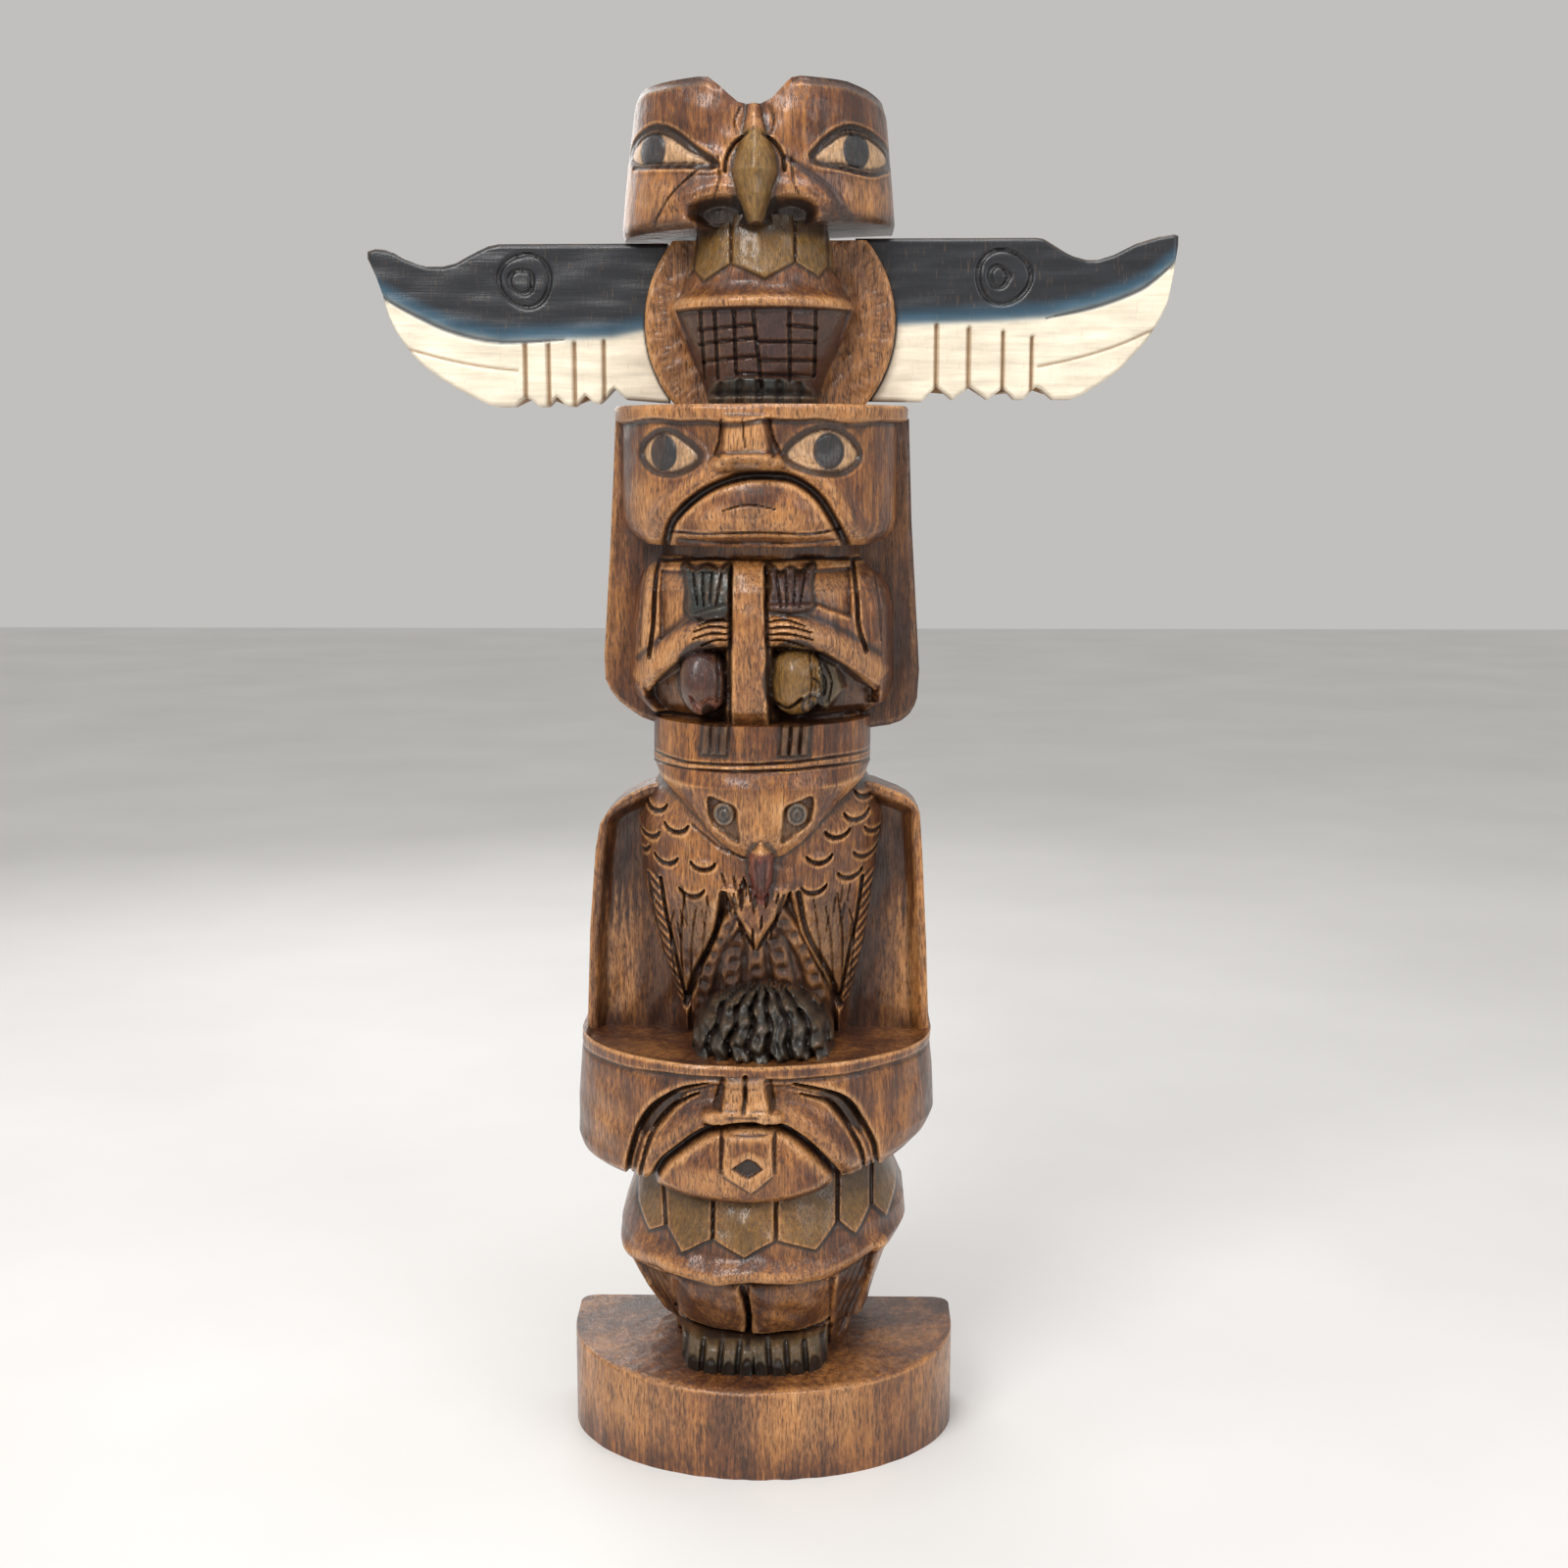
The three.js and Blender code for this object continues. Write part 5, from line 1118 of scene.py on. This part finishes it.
def carveFace():
    skin = skinOf(face)
    x, z = skin["x"], skin["z"]
    # brim slab with a wavy lower edge, painted shade under that edge and a painted highlight on the slab
    brimEdge = 616.0 + 0.9 * np.sin(x / 12) + 0.6 * np.sin(x / 5.1 + 1)
    brim = z - brimEdge
    skin["f"] = skin["f"] + 4.2 * ease(brim / 1.8 + 0.5) - 1.6 * ease((z - 622.8) / 2.2)
    stainAndShade(skin, 1.6 - np.abs(brim + 1.5), 0.85, 1.6)
    shine(skin, np.minimum(brim - 0.5, 8), 0.4, 3)
    frown = smoothPath(face["frown"])
    inArch = insideBy(x, z, np.vstack([frown, [(50, 520), (-56, 520)]]))
    # eye hollows, brow and cheeks, with a painted highlight along the cheek roll
    for cx in (-50, 37):
        skin["f"] = skin["f"] - 4.4 * np.exp(-(((x - cx) / 22) ** 2 + ((z - 600) / 14) ** 2) ** 1.2)
    skin["f"] = skin["f"] + 4.2 * np.exp(-((inArch + 9) / 5.5) ** 2) * ease((600 - z) / 10)
    shine(skin, 2.5 - np.abs(inArch + 8), 0.45, 4)
    groove(skin, frown, 7.2, 7.6, 1.0)
    dome = np.clip(inArch / 22, 0, 1)
    skin["f"] = skin["f"] + 6.0 * np.sqrt(1 - (1 - dome) ** 2) * ease((inArch - 1) / 3) * ease((z - 548) / 6)
    # painted highlight on the chin dome
    shine(skin, ovalBy(x, z, -4, 561, 34, 8), 0.45, 6)
    # lips and lower lip band
    lips = insideBy(x, z, smoothPath([(-19, 566.5), (-6, 570.2), (8, 567.5), (-5, 563.4)], 6, True))
    step(skin, lips, 1.0, 2)
    groove(skin, smoothPath([(-20, 566.4), (-6, 569.8), (9, 567.4)]), 2.2, 1.8, 0.7, 0.4)
    groove(skin, smoothPath([(-50, 554.5), (-30, 553.6), (0, 554.6), (28, 553.6), (45, 556)]), 2.4, 2.0, 0.75)
    groove(skin, smoothPath([(-46, 550), (-20, 548.6), (0, 549), (25, 548.4), (44, 550)]), 2.0, 1.2, 0.7)
    # nose: painted shade beside and under it, a painted highlight on it
    nose = insideBy(x, z, [(-18, 617), (3, 617), (7, 594), (-20.5, 594)])
    step(skin, nose, 7.5, 5)
    for cx in (-20, 7.5):
        skin["f"] = skin["f"] + 7.0 * ease(1.3 - np.hypot((x - cx) / 6.6, (z - 592.6) / 4.6))
    step(skin, insideBy(x, z, [(-20, 597), (7, 597), (4, 588.5), (-17, 588.5)]), 6.0, 3)
    skin["dark"] = np.maximum(skin["dark"], 0.55 * np.exp(-(((x - np.where(x < -7, -27, 14)) / 4.5) ** 2 + ((z - 605) / 9) ** 2)))
    groove(skin, [(-8.5, 617), (-8, 607), (-7, 601)], 1.8, 1.6, 0.8)
    groove(skin, [(-20.5, 616), (-21.5, 605), (-24.5, 597)], 2.4, 2.0, 0.75)
    groove(skin, [(5.8, 616), (8, 606), (12, 598)], 2.4, 2.0, 0.75)
    stainAndShade(skin, ovalBy(x, z, -7, 588.6, 9, 3), 0.75, 3)
    shine(skin, np.maximum(ovalBy(x, z, -6.5, 592.5, 19, 5), nose - 3), 0.85, 4)
    carveEye(skin, [(-66.5, 599), (-60, 607), (-50.5, 609), (-41, 603.5), (-34, 596), (-43, 589.5), (-53, 587.8), (-62, 591)], (-54.2, 598.3, 8.0, 10.2))
    carveEye(skin, [(15.5, 597), (25, 607), (37.2, 611), (49, 606.5), (55, 597), (49, 590), (39.8, 588), (27, 590)], (39, 599.2, 8.8, 10.2))
    skin["f"] = skin["f"] + handCut(x, z, 19, 24, 0.55)
    # stain and painted shade by the relief, then a paler patch low on the left cheek
    settleStainAndShade(skin)
    skin["glow"] = np.maximum(skin["glow"], 0.5 * np.exp(-((x + 66) / 13) ** 2 - ((z - 568) / 16) ** 2))
    return shellOf(skin, face)


# ---------- round body of the winged bird

disc = {"low": 623.5, "high": 718, "rows": 96, "columns": 146, "walls": 14, "fan": 0.0, "back": 0.2,
        "cx": 5.0, "cz": 672.0, "radius": 72.0, "depth": 50.0}
for side, sign in (("left", -1), ("right", 1)):
    disc[side] = [(zz, disc["cx"] + sign * math.sqrt(disc["radius"] ** 2 - (zz - disc["cz"]) ** 2)) for zz in np.linspace(620, 720, 60)]
disc["side"] = [(620, disc["depth"]), (720, disc["depth"])]
disc["arc"] = [(620, 0), (720, 0)]

breast = {
    "low": 622, "high": 728, "rows": 132, "columns": 190, "walls": 4, "back": 20,
    "left": [(622, -29), (641, -35), (660, -44), (672, -50), (678, -52.5), (683, -49), (700, -40.5), (719, -37), (728, -35)],
    "right": [(622, 31), (641, 37), (660, 46), (672, 52), (678, 54.5), (683, 51), (700, 42.5), (719, 39), (728, 37)],
    "side": [(622, 48.5), (728, 48.5)], "arc": [(622, 38), (650, 46), (668, 53), (677, 57), (682, 55), (692, 50), (705, 45), (728, 40)],
    "plates": [
        [(-15.3, 735), (-15.3, 701), (3.5, 692.2), (19.8, 701.5), (19.8, 735)],
        [(19.8, 735), (19.8, 701.5), (33, 694.2), (38.8, 702), (36, 735)],
        [(36, 735), (38.8, 702), (44, 696), (52, 696), (52, 735)],
        [(-33, 735), (-37.5, 700), (-31, 691.8), (-15.3, 701), (-15.3, 735)],
        [(-52, 735), (-52, 694), (-44, 692), (-37.5, 700), (-33, 735)],
    ],
    "apron": [(-47, 677), (51, 677.5), (45, 660), (36, 630), (-30, 630), (-40, 655)],
    "uprights": [[(-32.8, 677), (-31.5, 640)], [(-24.5, 677), (-23.5, 640)], [(-13.6, 677), (-13, 642)], [(-3.3, 677), (1.5, 634)], [(16.9, 678), (16.9, 638)], [(31.4, 678), (30.5, 642)]],
    "levels": [[(-34, 666), (-3, 668)], [(-34, 658.5), (-2, 661)], [(-32, 649), (-1, 651.5)], [(0, 659), (31, 659.5)], [(1, 649), (31, 649.5)], [(16, 668), (32, 667)], [(-12, 642), (30, 641)]],
    "claws": 6,
}


def carveDisc():
    skin = skinOf(disc)
    x, z = skin["x"], skin["z"]
    out = np.hypot(x - disc["cx"], z - disc["cz"])
    edge = disc["radius"] - out
    skin["f"] = skin["f"] - 1.8 * ease((2.2 - edge) / 2.2)
    # fine radial ticks on the flat margin, and prick marks
    turn = np.arctan2(z - disc["cz"], x - disc["cx"])
    tick = ease((np.sin(turn * 118 + 1.5 * np.sin(turn * 17)) - 0.35) / 0.5) * ease(1 - np.abs(edge - 9 - 2.5 * np.sin(turn * 23)) / 5)
    skin["f"] = skin["f"] - 0.55 * tick
    skin["dark"] = np.maximum(skin["dark"], 0.42 * tick)
    skin["f"] = skin["f"] - 2.0 * ease((edge - 16) / 14) + handCut(x, z, 23, 14, 0.35)
    settleStainAndShade(skin, 4, 0.6)
    skin["glow"] = np.maximum(skin["glow"], 0.32 + 0.4 * ease((4 - edge) / 3))
    return shellOf(skin, disc)


def carveBreast():
    skin = skinOf(breast)
    x, z = skin["x"], skin["z"]
    # rolled ridge over the apron, with painted shade in the hollow above it
    skin["f"] = skin["f"] + 2.6 * np.exp(-((z - 681.5) / 3.2) ** 2)
    skin["f"] = skin["f"] - 2.4 * np.exp(-((z - 690) / 5) ** 2)
    skin["dark"] = np.maximum(skin["dark"], 0.3 * np.exp(-((z - 688) / 5) ** 2))
    apron = insideBy(x, z, breast["apron"])
    step(skin, apron, -5.5, 2.6)
    colour(skin, apron + 0.5, paints["maroon"], 0.88, 2)
    skin["f"] = skin["f"] + 1.4 * ease(apron / 4)
    for path in breast["uprights"]:
        cut = ease(1.3 * (1 - pathGap(x, z, path)[0] / 1.5)) * ease(apron / 2)
        skin["f"] = skin["f"] - 2.2 * cut
        skin["dark"] = np.maximum(skin["dark"], cut)
    for path in breast["levels"]:
        cut = ease(1.3 * (1 - pathGap(x, z, path)[0] / 1.4)) * ease(apron / 2)
        skin["f"] = skin["f"] - 2.0 * cut
        skin["dark"] = np.maximum(skin["dark"], 0.85 * cut)
    # claws hang over the lower edge
    claws = insideBy(x, z, [(-33, 627), (-26, 638), (-10, 640), (8, 639.5), (24, 638.5), (33, 630), (33, 618), (-33, 618)])
    step(skin, claws, 4.4, 3)
    slot = (x + 33) / (66 / breast["claws"])
    across = np.abs(slot % 1 - 0.5) * 2
    skin["f"] = skin["f"] - 2.8 * ease((across - 0.4) / 0.5) * ease(claws / 2)
    colour(skin, claws, paints["green"], 0.85)
    skin["dark"] = np.maximum(skin["dark"], 0.8 * ease((across - 0.6) / 0.35) * ease(claws / 2))
    # ochre plates on the shoulders
    for outline in breast["plates"]:
        inside = insideBy(x, z, outline)
        step(skin, inside - 0.8, 2.6, 1.6)
        colour(skin, inside - 0.4, paints["ochre"], 0.85, 1.6)
        stainAndShade(skin, 0.8 - np.abs(inside), 0.8, 1.0)
    # painted highlight along the top of the ridge, painted shade at the top under the head
    shine(skin, 2.6 - np.abs(z - 681.0), 0.7, 3)
    skin["dark"] = np.maximum(skin["dark"], 0.8 * ease((z - 714) / 6))
    skin["f"] = skin["f"] + handCut(x, z, 27, 15, 0.35)
    settleStainAndShade(skin, 4)
    return shellOf(skin, breast)


# ---------- head of the winged bird

head = {
    "low": 719, "high": 801, "rows": 112, "columns": 316, "walls": 14, "power": 2.25, "back": 0.0,
    "left": [(716, -77.5), (719, -79.5), (725, -80.3), (760, -77), (796, -72), (801, -69.5)],
    "right": [(716, 73), (722, 75.5), (728, 76.8), (760, 74.2), (788, 71.6), (801, 68)],
    "sole": [(-80, 719), (-40, 720.5), (0, 722), (40, 724), (77, 725.5)],
    "crown": [(-74, 794.5), (-71.6, 797.4), (-64.4, 800.4), (-33, 801), (-27.4, 800.6), (-20.8, 794.6), (-16.5, 790.7), (-11, 786.4), (-5.6, 785.2),
              (0.9, 785.2), (7.3, 788.2), (13.8, 795), (18.1, 799.3), (22.5, 800.9), (48.5, 800.4), (59.4, 798), (68.8, 794.6), (72, 790)],
    "side": [(716, 26), (722, 28), (801, 28)], "arc": [(716, 70), (724, 75.5), (760, 74.5), (801, 72)],
    "eyeLeft": [(-72.5, 764), (-67, 770.5), (-58, 773), (-48, 769.5), (-37, 761), (-25, 753.8), (-38, 755), (-56, 756.5), (-68, 757.8)],
    "eyeRight": [(31, 756.5), (38, 765), (48, 771.5), (60, 770.5), (70, 764.5), (69.5, 758), (61, 753.8), (47, 755)],
}


def carveHead():
    skin = skinOf(head)
    x, z = skin["x"], skin["z"]
    # chamfer round the top, stained dark
    drop = skin["crown"] - z
    chamfer = ease((6.0 - drop) / 5.0) * ease((np.abs(x + 2) - 17) / 8)
    skin["f"] = skin["f"] - 5.5 * chamfer
    skin["dark"] = np.maximum(skin["dark"], 0.62 * ease((6.4 - drop) / 1.2) * ease((np.abs(x + 2) - 24) / 6))
    # the lower edge rolls under, with painted shade along it
    skin["f"] = skin["f"] - 3.0 * ease((3.4 - (z - skin["sole"])) / 3.4) ** 1.4
    skin["dark"] = np.maximum(skin["dark"], 0.72 * ease((9 - (z - skin["sole"])) / 8))
    # forehead slopes into the notch, brow masses either side
    skin["f"] = skin["f"] - 4.0 * np.exp(-((x + 2) / 15) ** 2) * ease((z - 762) / 20)
    for cx, turn in ((-51, 1), (50, -1)):
        skin["f"] = skin["f"] - 3.6 * np.exp(-(((x - cx) / 26) ** 2 + ((z - 764) / 13) ** 2) ** 1.3)
    for cx in (-30, 27):
        skin["f"] = skin["f"] + 2.8 * np.exp(-((x - cx) / 11) ** 2 - ((z - 781) / 14) ** 2)
    # hollows beside the beak, darkened as painted shade under the cheeks
    for cx, cz, rx, rz in ((-21, 727.5, 14.5, 7.5), (17.5, 727.5, 12.5, 7.5)):
        cave = ovalBy(x, z, cx, cz, rx, rz)
        step(skin, cave, -16, 6)
        stainAndShade(skin, cave + 1.5, 1.0, 5)
        skin["f"] = skin["f"] + 3.2 * np.exp(-((cave + 6) / 4.5) ** 2) * ease((z - cz) / 8)
    # cheek lines
    groove(skin, smoothPath([(-33, 751), (-45.5, 741), (-53, 732), (-59, 722)]), 2.4, 1.6, 0.75)
    stripe = smoothPath([(15, 757), (27, 749), (38.8, 741), (46, 730), (49, 726)])
    gap, place = pathGap(x, z, stripe)
    groove(skin, stripe, 4.2, 1.0, 0.35)
    colour(skin, along(place, [(0, 1.6), (0.4, 2.6), (1, 3.8)]) - gap, (0.05, 0.024, 0.02), 0.85)
    # eyes
    carveEye(skin, head["eyeLeft"], (-59.2, 764.0, 7.6, 10.4), 2.8)
    carveEye(skin, head["eyeRight"], (53.6, 763.0, 7.4, 10.0), 2.8)
    groove(skin, smoothPath([(-75, 763), (-69.5, 772), (-58, 776.4), (-46.5, 772.4), (-35, 763), (-22.5, 753)]), 5.0, 2.8, 1.0)
    groove(skin, smoothPath([(-71, 756), (-56, 754), (-38, 752.5), (-24, 752)]), 3.2, 1.8, 0.95)
    groove(skin, smoothPath([(29, 758.5), (37, 768), (48, 774.8), (61, 773.8), (72.5, 767), (72, 757)]), 5.0, 2.8, 1.0)
    groove(skin, smoothPath([(32, 754.5), (47, 752), (62, 750.5), (71, 755)]), 3.6, 2.0, 1.0)
    # beak: a ridge that droops to a point below the face, with painted shade along its sides and a painted highlight
    # down its ridge
    beakHalf = along(z, [(717.5, 1.2), (724, 5.2), (736, 9.4), (749, 12.2), (758, 10.8), (767, 7.6), (778, 6.0), (786, 6.4)])
    beakMid = along(z, [(717, -1.4), (736, -2), (760, -1.5), (786, -2.5)])
    beakTop = along(z, [(717.5, 112), (724, 116), (736, 119.6), (749, 120), (760, 117.5), (769, 112.5), (778, 106), (786, 101)])
    offset = (x - beakMid) / beakHalf
    beakIn = beakHalf - np.abs(x - beakMid)
    beak = np.where((beakIn > 0), beakTop - 5.0 * np.abs(offset) - 9.5 * np.abs(offset) ** 3.5, 0)
    skin["f"] = blendMax(skin["f"], beak, 0.9)
    skin["dark"] = skin["dark"] * (1 - ease(beakIn / 1.5)) + 0.7 * np.exp(-((beakIn + 1.6) / 1.6) ** 2) * (z < 764)
    colour(skin, np.minimum(beakIn + 0.3, 771 - z), paints["ochre"], 0.92, 2)
    stainAndShade(skin, np.where(beakIn > 0, 2.6 - beakIn, -4), 0.4, 3)
    shine(skin, np.where(z < 768, 1.0 - np.abs(x - beakMid), -3), 0.6, 1.4)
    for path in ([(-6, 768.5), (-12.5, 764.5), (-17, 757), (-18, 749.5)], [(3, 768), (9, 764.5), (13.2, 757.5), (14.2, 750)]):
        groove(skin, smoothPath(path), 3.2, 3.4, 0.95)
    # folds beside the forehead
    groove(skin, smoothPath([(-10, 783), (-13, 775), (-11, 769)]), 2.2, 1.2, 0.5)
    groove(skin, smoothPath([(6, 784), (8.5, 776), (7, 769)]), 2.2, 1.2, 0.5)
    groove(skin, smoothPath([(-22, 757), (-21, 745), (-24, 736)]), 2.4, 1.4, 0.5)
    groove(skin, smoothPath([(18, 757), (19, 745), (22, 737)]), 2.4, 1.4, 0.5)
    skin["f"] = skin["f"] + handCut(x, z, 29, 20, 0.45)
    settleStainAndShade(skin)
    skin["f"] = np.minimum(skin["f"], 124.5)
    skin["glow"] = np.maximum(skin["glow"], 0.45 * np.exp(-((np.abs(x) - 58) / 14) ** 2 - ((z - 738) / 12) ** 2))
    return shellOf(skin, head)


# ---------- wings

wings = {
    "left_wing": {
        "side": -1, "rows": 92, "columns": 196, "tip": 227.5, "root": 54.0,
        "crown": [(50, 717.3), (151.6, 717), (157.7, 715.8), (164, 713), (170.3, 709.8), (177, 706.2), (183.9, 704.5), (193.8, 704.5),
                  (200, 706.3), (206, 708.7), (212, 712), (217, 714), (223, 714.5), (227.5, 713)],
        "keel": [(50, 626.5), (78.9, 628.9), (85.6, 635.5), (94.4, 626.4), (97.6, 627), (102.5, 631.3), (108.8, 624.8), (113.7, 625.1), (119.3, 630.6),
                 (124.3, 624.8), (129.9, 624.8), (134.3, 628.9), (137.9, 630), (143.6, 624.8), (153.6, 624.8), (158.6, 625.8), (166, 629.2),
                 (177, 635), (186, 640.5), (195.4, 647.2), (202, 653.5), (207.4, 660.5), (212, 667.5), (215.7, 675), (219, 687), (223, 699), (227.5, 709)],
        "slits": [(137.3, 660), (123.7, 660), (108.6, 661), (91.5, 662)],
        "border": [(50, 668), (68.6, 667.6), (87, 664), (114.4, 662.9), (151.5, 661.7), (176.2, 666.5), (194.6, 673.8), (219, 687), (228, 696)],
        "eye": (136.6, 696.6, 16.0, 138.7, 696.0, 6.8), "long": [(142, 645.3), (160, 647.4), (182, 651.5), (205, 657.6)],
    },
    "right_wing": {
        "side": 1, "rows": 92, "columns": 200, "tip": 238.8, "root": 54.0,
        "crown": [(50, 719.8), (157.9, 720), (161.8, 719.4), (166, 717), (170.9, 714), (175, 711.5), (178.8, 709.7), (186.6, 707.6), (193, 707.6),
                  (202, 710.3), (214.7, 716.6), (227.5, 720.4), (236.5, 721.8), (238.8, 720.9)],
        "keel": [(50, 628), (93, 627.6), (101.2, 636.1), (110.7, 628.6), (121, 636.1), (131, 628.6), (139.9, 635.3), (146.6, 628.9), (151.8, 628.9),
                 (158.9, 636.1), (162, 634.7), (168.8, 628.9), (179.3, 628.9), (184.4, 630.8), (193.4, 636), (207.5, 646.2), (222.7, 662.8), (228.8, 672.9),
                 (233.7, 683), (237, 702), (238.8, 715.5)],
        "slits": [(101, 671), (119.7, 669), (139.5, 667), (156.1, 664)],
        "border": [(50, 670), (102.9, 671.8), (138, 673.1), (163.9, 675), (189.8, 680.6), (209, 687), (221.8, 693.3), (237, 705.8)],
        "eye": (139.2, 698.4, 16.3, 136.3, 698.4, 5.6), "long": [(160, 647.5), (185, 653), (207, 660), (227.6, 669.1)],
    },
}


def carveWing(wing):
    side = wing["side"]
    spec = {
        "low": 627, "high": 717, "rows": wing["rows"], "columns": wing["columns"], "walls": 5, "fan": 0.0, "back": 27.0, "endStain": 0.0, "soleShade": 0.0,
        "left": [(600, min(side * wing["root"], side * wing["tip"])), (760, min(side * wing["root"], side * wing["tip"]))],
        "right": [(600, max(side * wing["root"], side * wing["tip"])), (760, max(side * wing["root"], side * wing["tip"]))],
        "crown": [(side * u, zz) for u, zz in wing["crown"]], "sole": [(side * u, zz) for u, zz in wing["keel"]],
        "side": [(600, 43), (760, 43)], "arc": [(600, 0), (760, 0)], "paintFrom": -1,
    }
    skin = skinOf(spec)
    u, z = skin["x"] * side, skin["z"]
    edge = np.minimum(np.minimum(skin["crown"] - z, z - skin["sole"]), wing["tip"] - u)
    skin["f"] = skin["f"] - 1.8 * ease((2.2 - edge) / 2.2) ** 1.3 + handCut(u * 0.4, z, 37 + side, 14, 0.22)
    above = z - along(u, wing["border"])
    look = wingLook
    cover = np.ones_like(z)
    slate = ease((above - 2.5) / 10)
    blue = ease((above + 1.6) / 3.6)
    tone = np.stack([look["cream"][k] * (1 - blue) + (look["blue"][k] * (1 - slate) + look["slate"][k] * slate) * blue for k in range(3)], -1)
    # pale wash where blue meets cream
    wash = np.exp(-((above - 0.5) / 2.2) ** 2)[..., None] * 0.35
    tone = tone * (1 - wash) + np.array([0.36, 0.42, 0.42]) * wash
    skin["paint"][..., :3] = tone
    skin["paint"][..., 3] = cover
    # carved line along the border, out from the round body
    line = smoothPath(wing["border"][3:] if side < 0 else wing["border"][3:], 4)
    gap, place = pathGap(u, z, line)
    cut = ease(1.2 * (1 - gap / (2.2 * np.sin(np.clip(place, 0.02, 0.98) * math.pi) ** 0.4)))
    skin["f"] = skin["f"] - 1.1 * cut
    navy = np.array([0.016, 0.030, 0.050])
    skin["paint"][..., :3] = skin["paint"][..., :3] * (1 - 0.85 * cut[..., None]) + navy * 0.85 * cut[..., None]
    # slits between the feathers, and the long line above the lowest one
    groovePaint = np.zeros_like(z)
    for start, top in wing["slits"]:
        gap, _ = pathGap(u, z, [(start, 618), (start, top)])
        cut = ease(1.3 * (1 - gap / 1.7))
        skin["f"] = skin["f"] - 3.0 * cut
        groovePaint = np.maximum(groovePaint, cut)
    gap, place = pathGap(u, z, smoothPath(wing["long"]))
    cut = ease(1.2 * (1 - gap / 1.3))
    skin["f"] = skin["f"] - 1.2 * cut
    groovePaint = np.maximum(groovePaint, 0.75 * cut)
    skin["dark"] = groovePaint
    # ringed eye
    cx, cz, radius, ix, iz, small = wing["eye"]
    wobble = 0.5 * np.sin(np.arctan2(z - cz, u - cx) * 3 + 1)
    for px, pz, size in ((cx, cz, radius - 1.2), (ix, iz, small)):
        ring = np.abs(np.hypot(u - px, z - pz) - size - wobble)
        cut = ease(1.2 * (1 - ring / 2.1))
        skin["f"] = skin["f"] - 1.9 * cut
        skin["paint"][..., :3] = skin["paint"][..., :3] * (1 - 0.9 * cut[..., None]) + np.array([0.006, 0.006, 0.008]) * 0.9 * cut[..., None]
    # painted shadow: a dark line on the wing beside the round body
    hug = np.hypot(skin["x"] - disc["cx"], z - disc["cz"]) - disc["radius"]
    near = ease((2.0 - hug) / 1.2)[..., None]
    skin["paint"][..., :3] = skin["paint"][..., :3] * (1 - near) + np.array([0.012, 0.008, 0.007]) * near
    settleStainAndShade(skin, 3, 0.0)
    skin["glow"] = 0.5 * ease((1.6 - edge) / 1.6)
    return shellOf(skin, spec)


figure("baseAndFrog", [carveBase(), carveFrog()], varnishedWood, "pole")
figure("frowningFace", [carveFrown()], varnishedWood, "pole")
figure("birdAndBoard", [carveBirdBoard(), carveBird()], varnishedWood, "pole")
figure("fishCatcher", [carvePerch(), carveCatcherBoard(), carveCatcher()], varnishedWood, "pole")
figure("catcherFace", [carveFace()], varnishedWood, "pole")
figure("roundBody", [carveDisc(), carveBreast()], varnishedWood, "pole")
figure("birdHead", [carveHead()], varnishedWood, "pole")
figure("leftWing", [carveWing(wings["left_wing"])], paintedWing, "left_wing")
figure("rightWing", [carveWing(wings["right_wing"])], paintedWing, "right_wing")

# ---------- floor

floorSize = 6.0
floorMesh = bpy.data.meshes.new("floor")
floorMesh.from_pydata([(-floorSize, -floorSize, 0), (floorSize, -floorSize, 0), (floorSize, floorSize, 0), (-floorSize, floorSize, 0)], [], [(0, 1, 2, 3)])
floorMesh.materials.append(floorMaterial())
floor = bpy.data.objects.new("floor", floorMesh)
bpy.context.scene.collection.objects.link(floor)
print("floor laid")
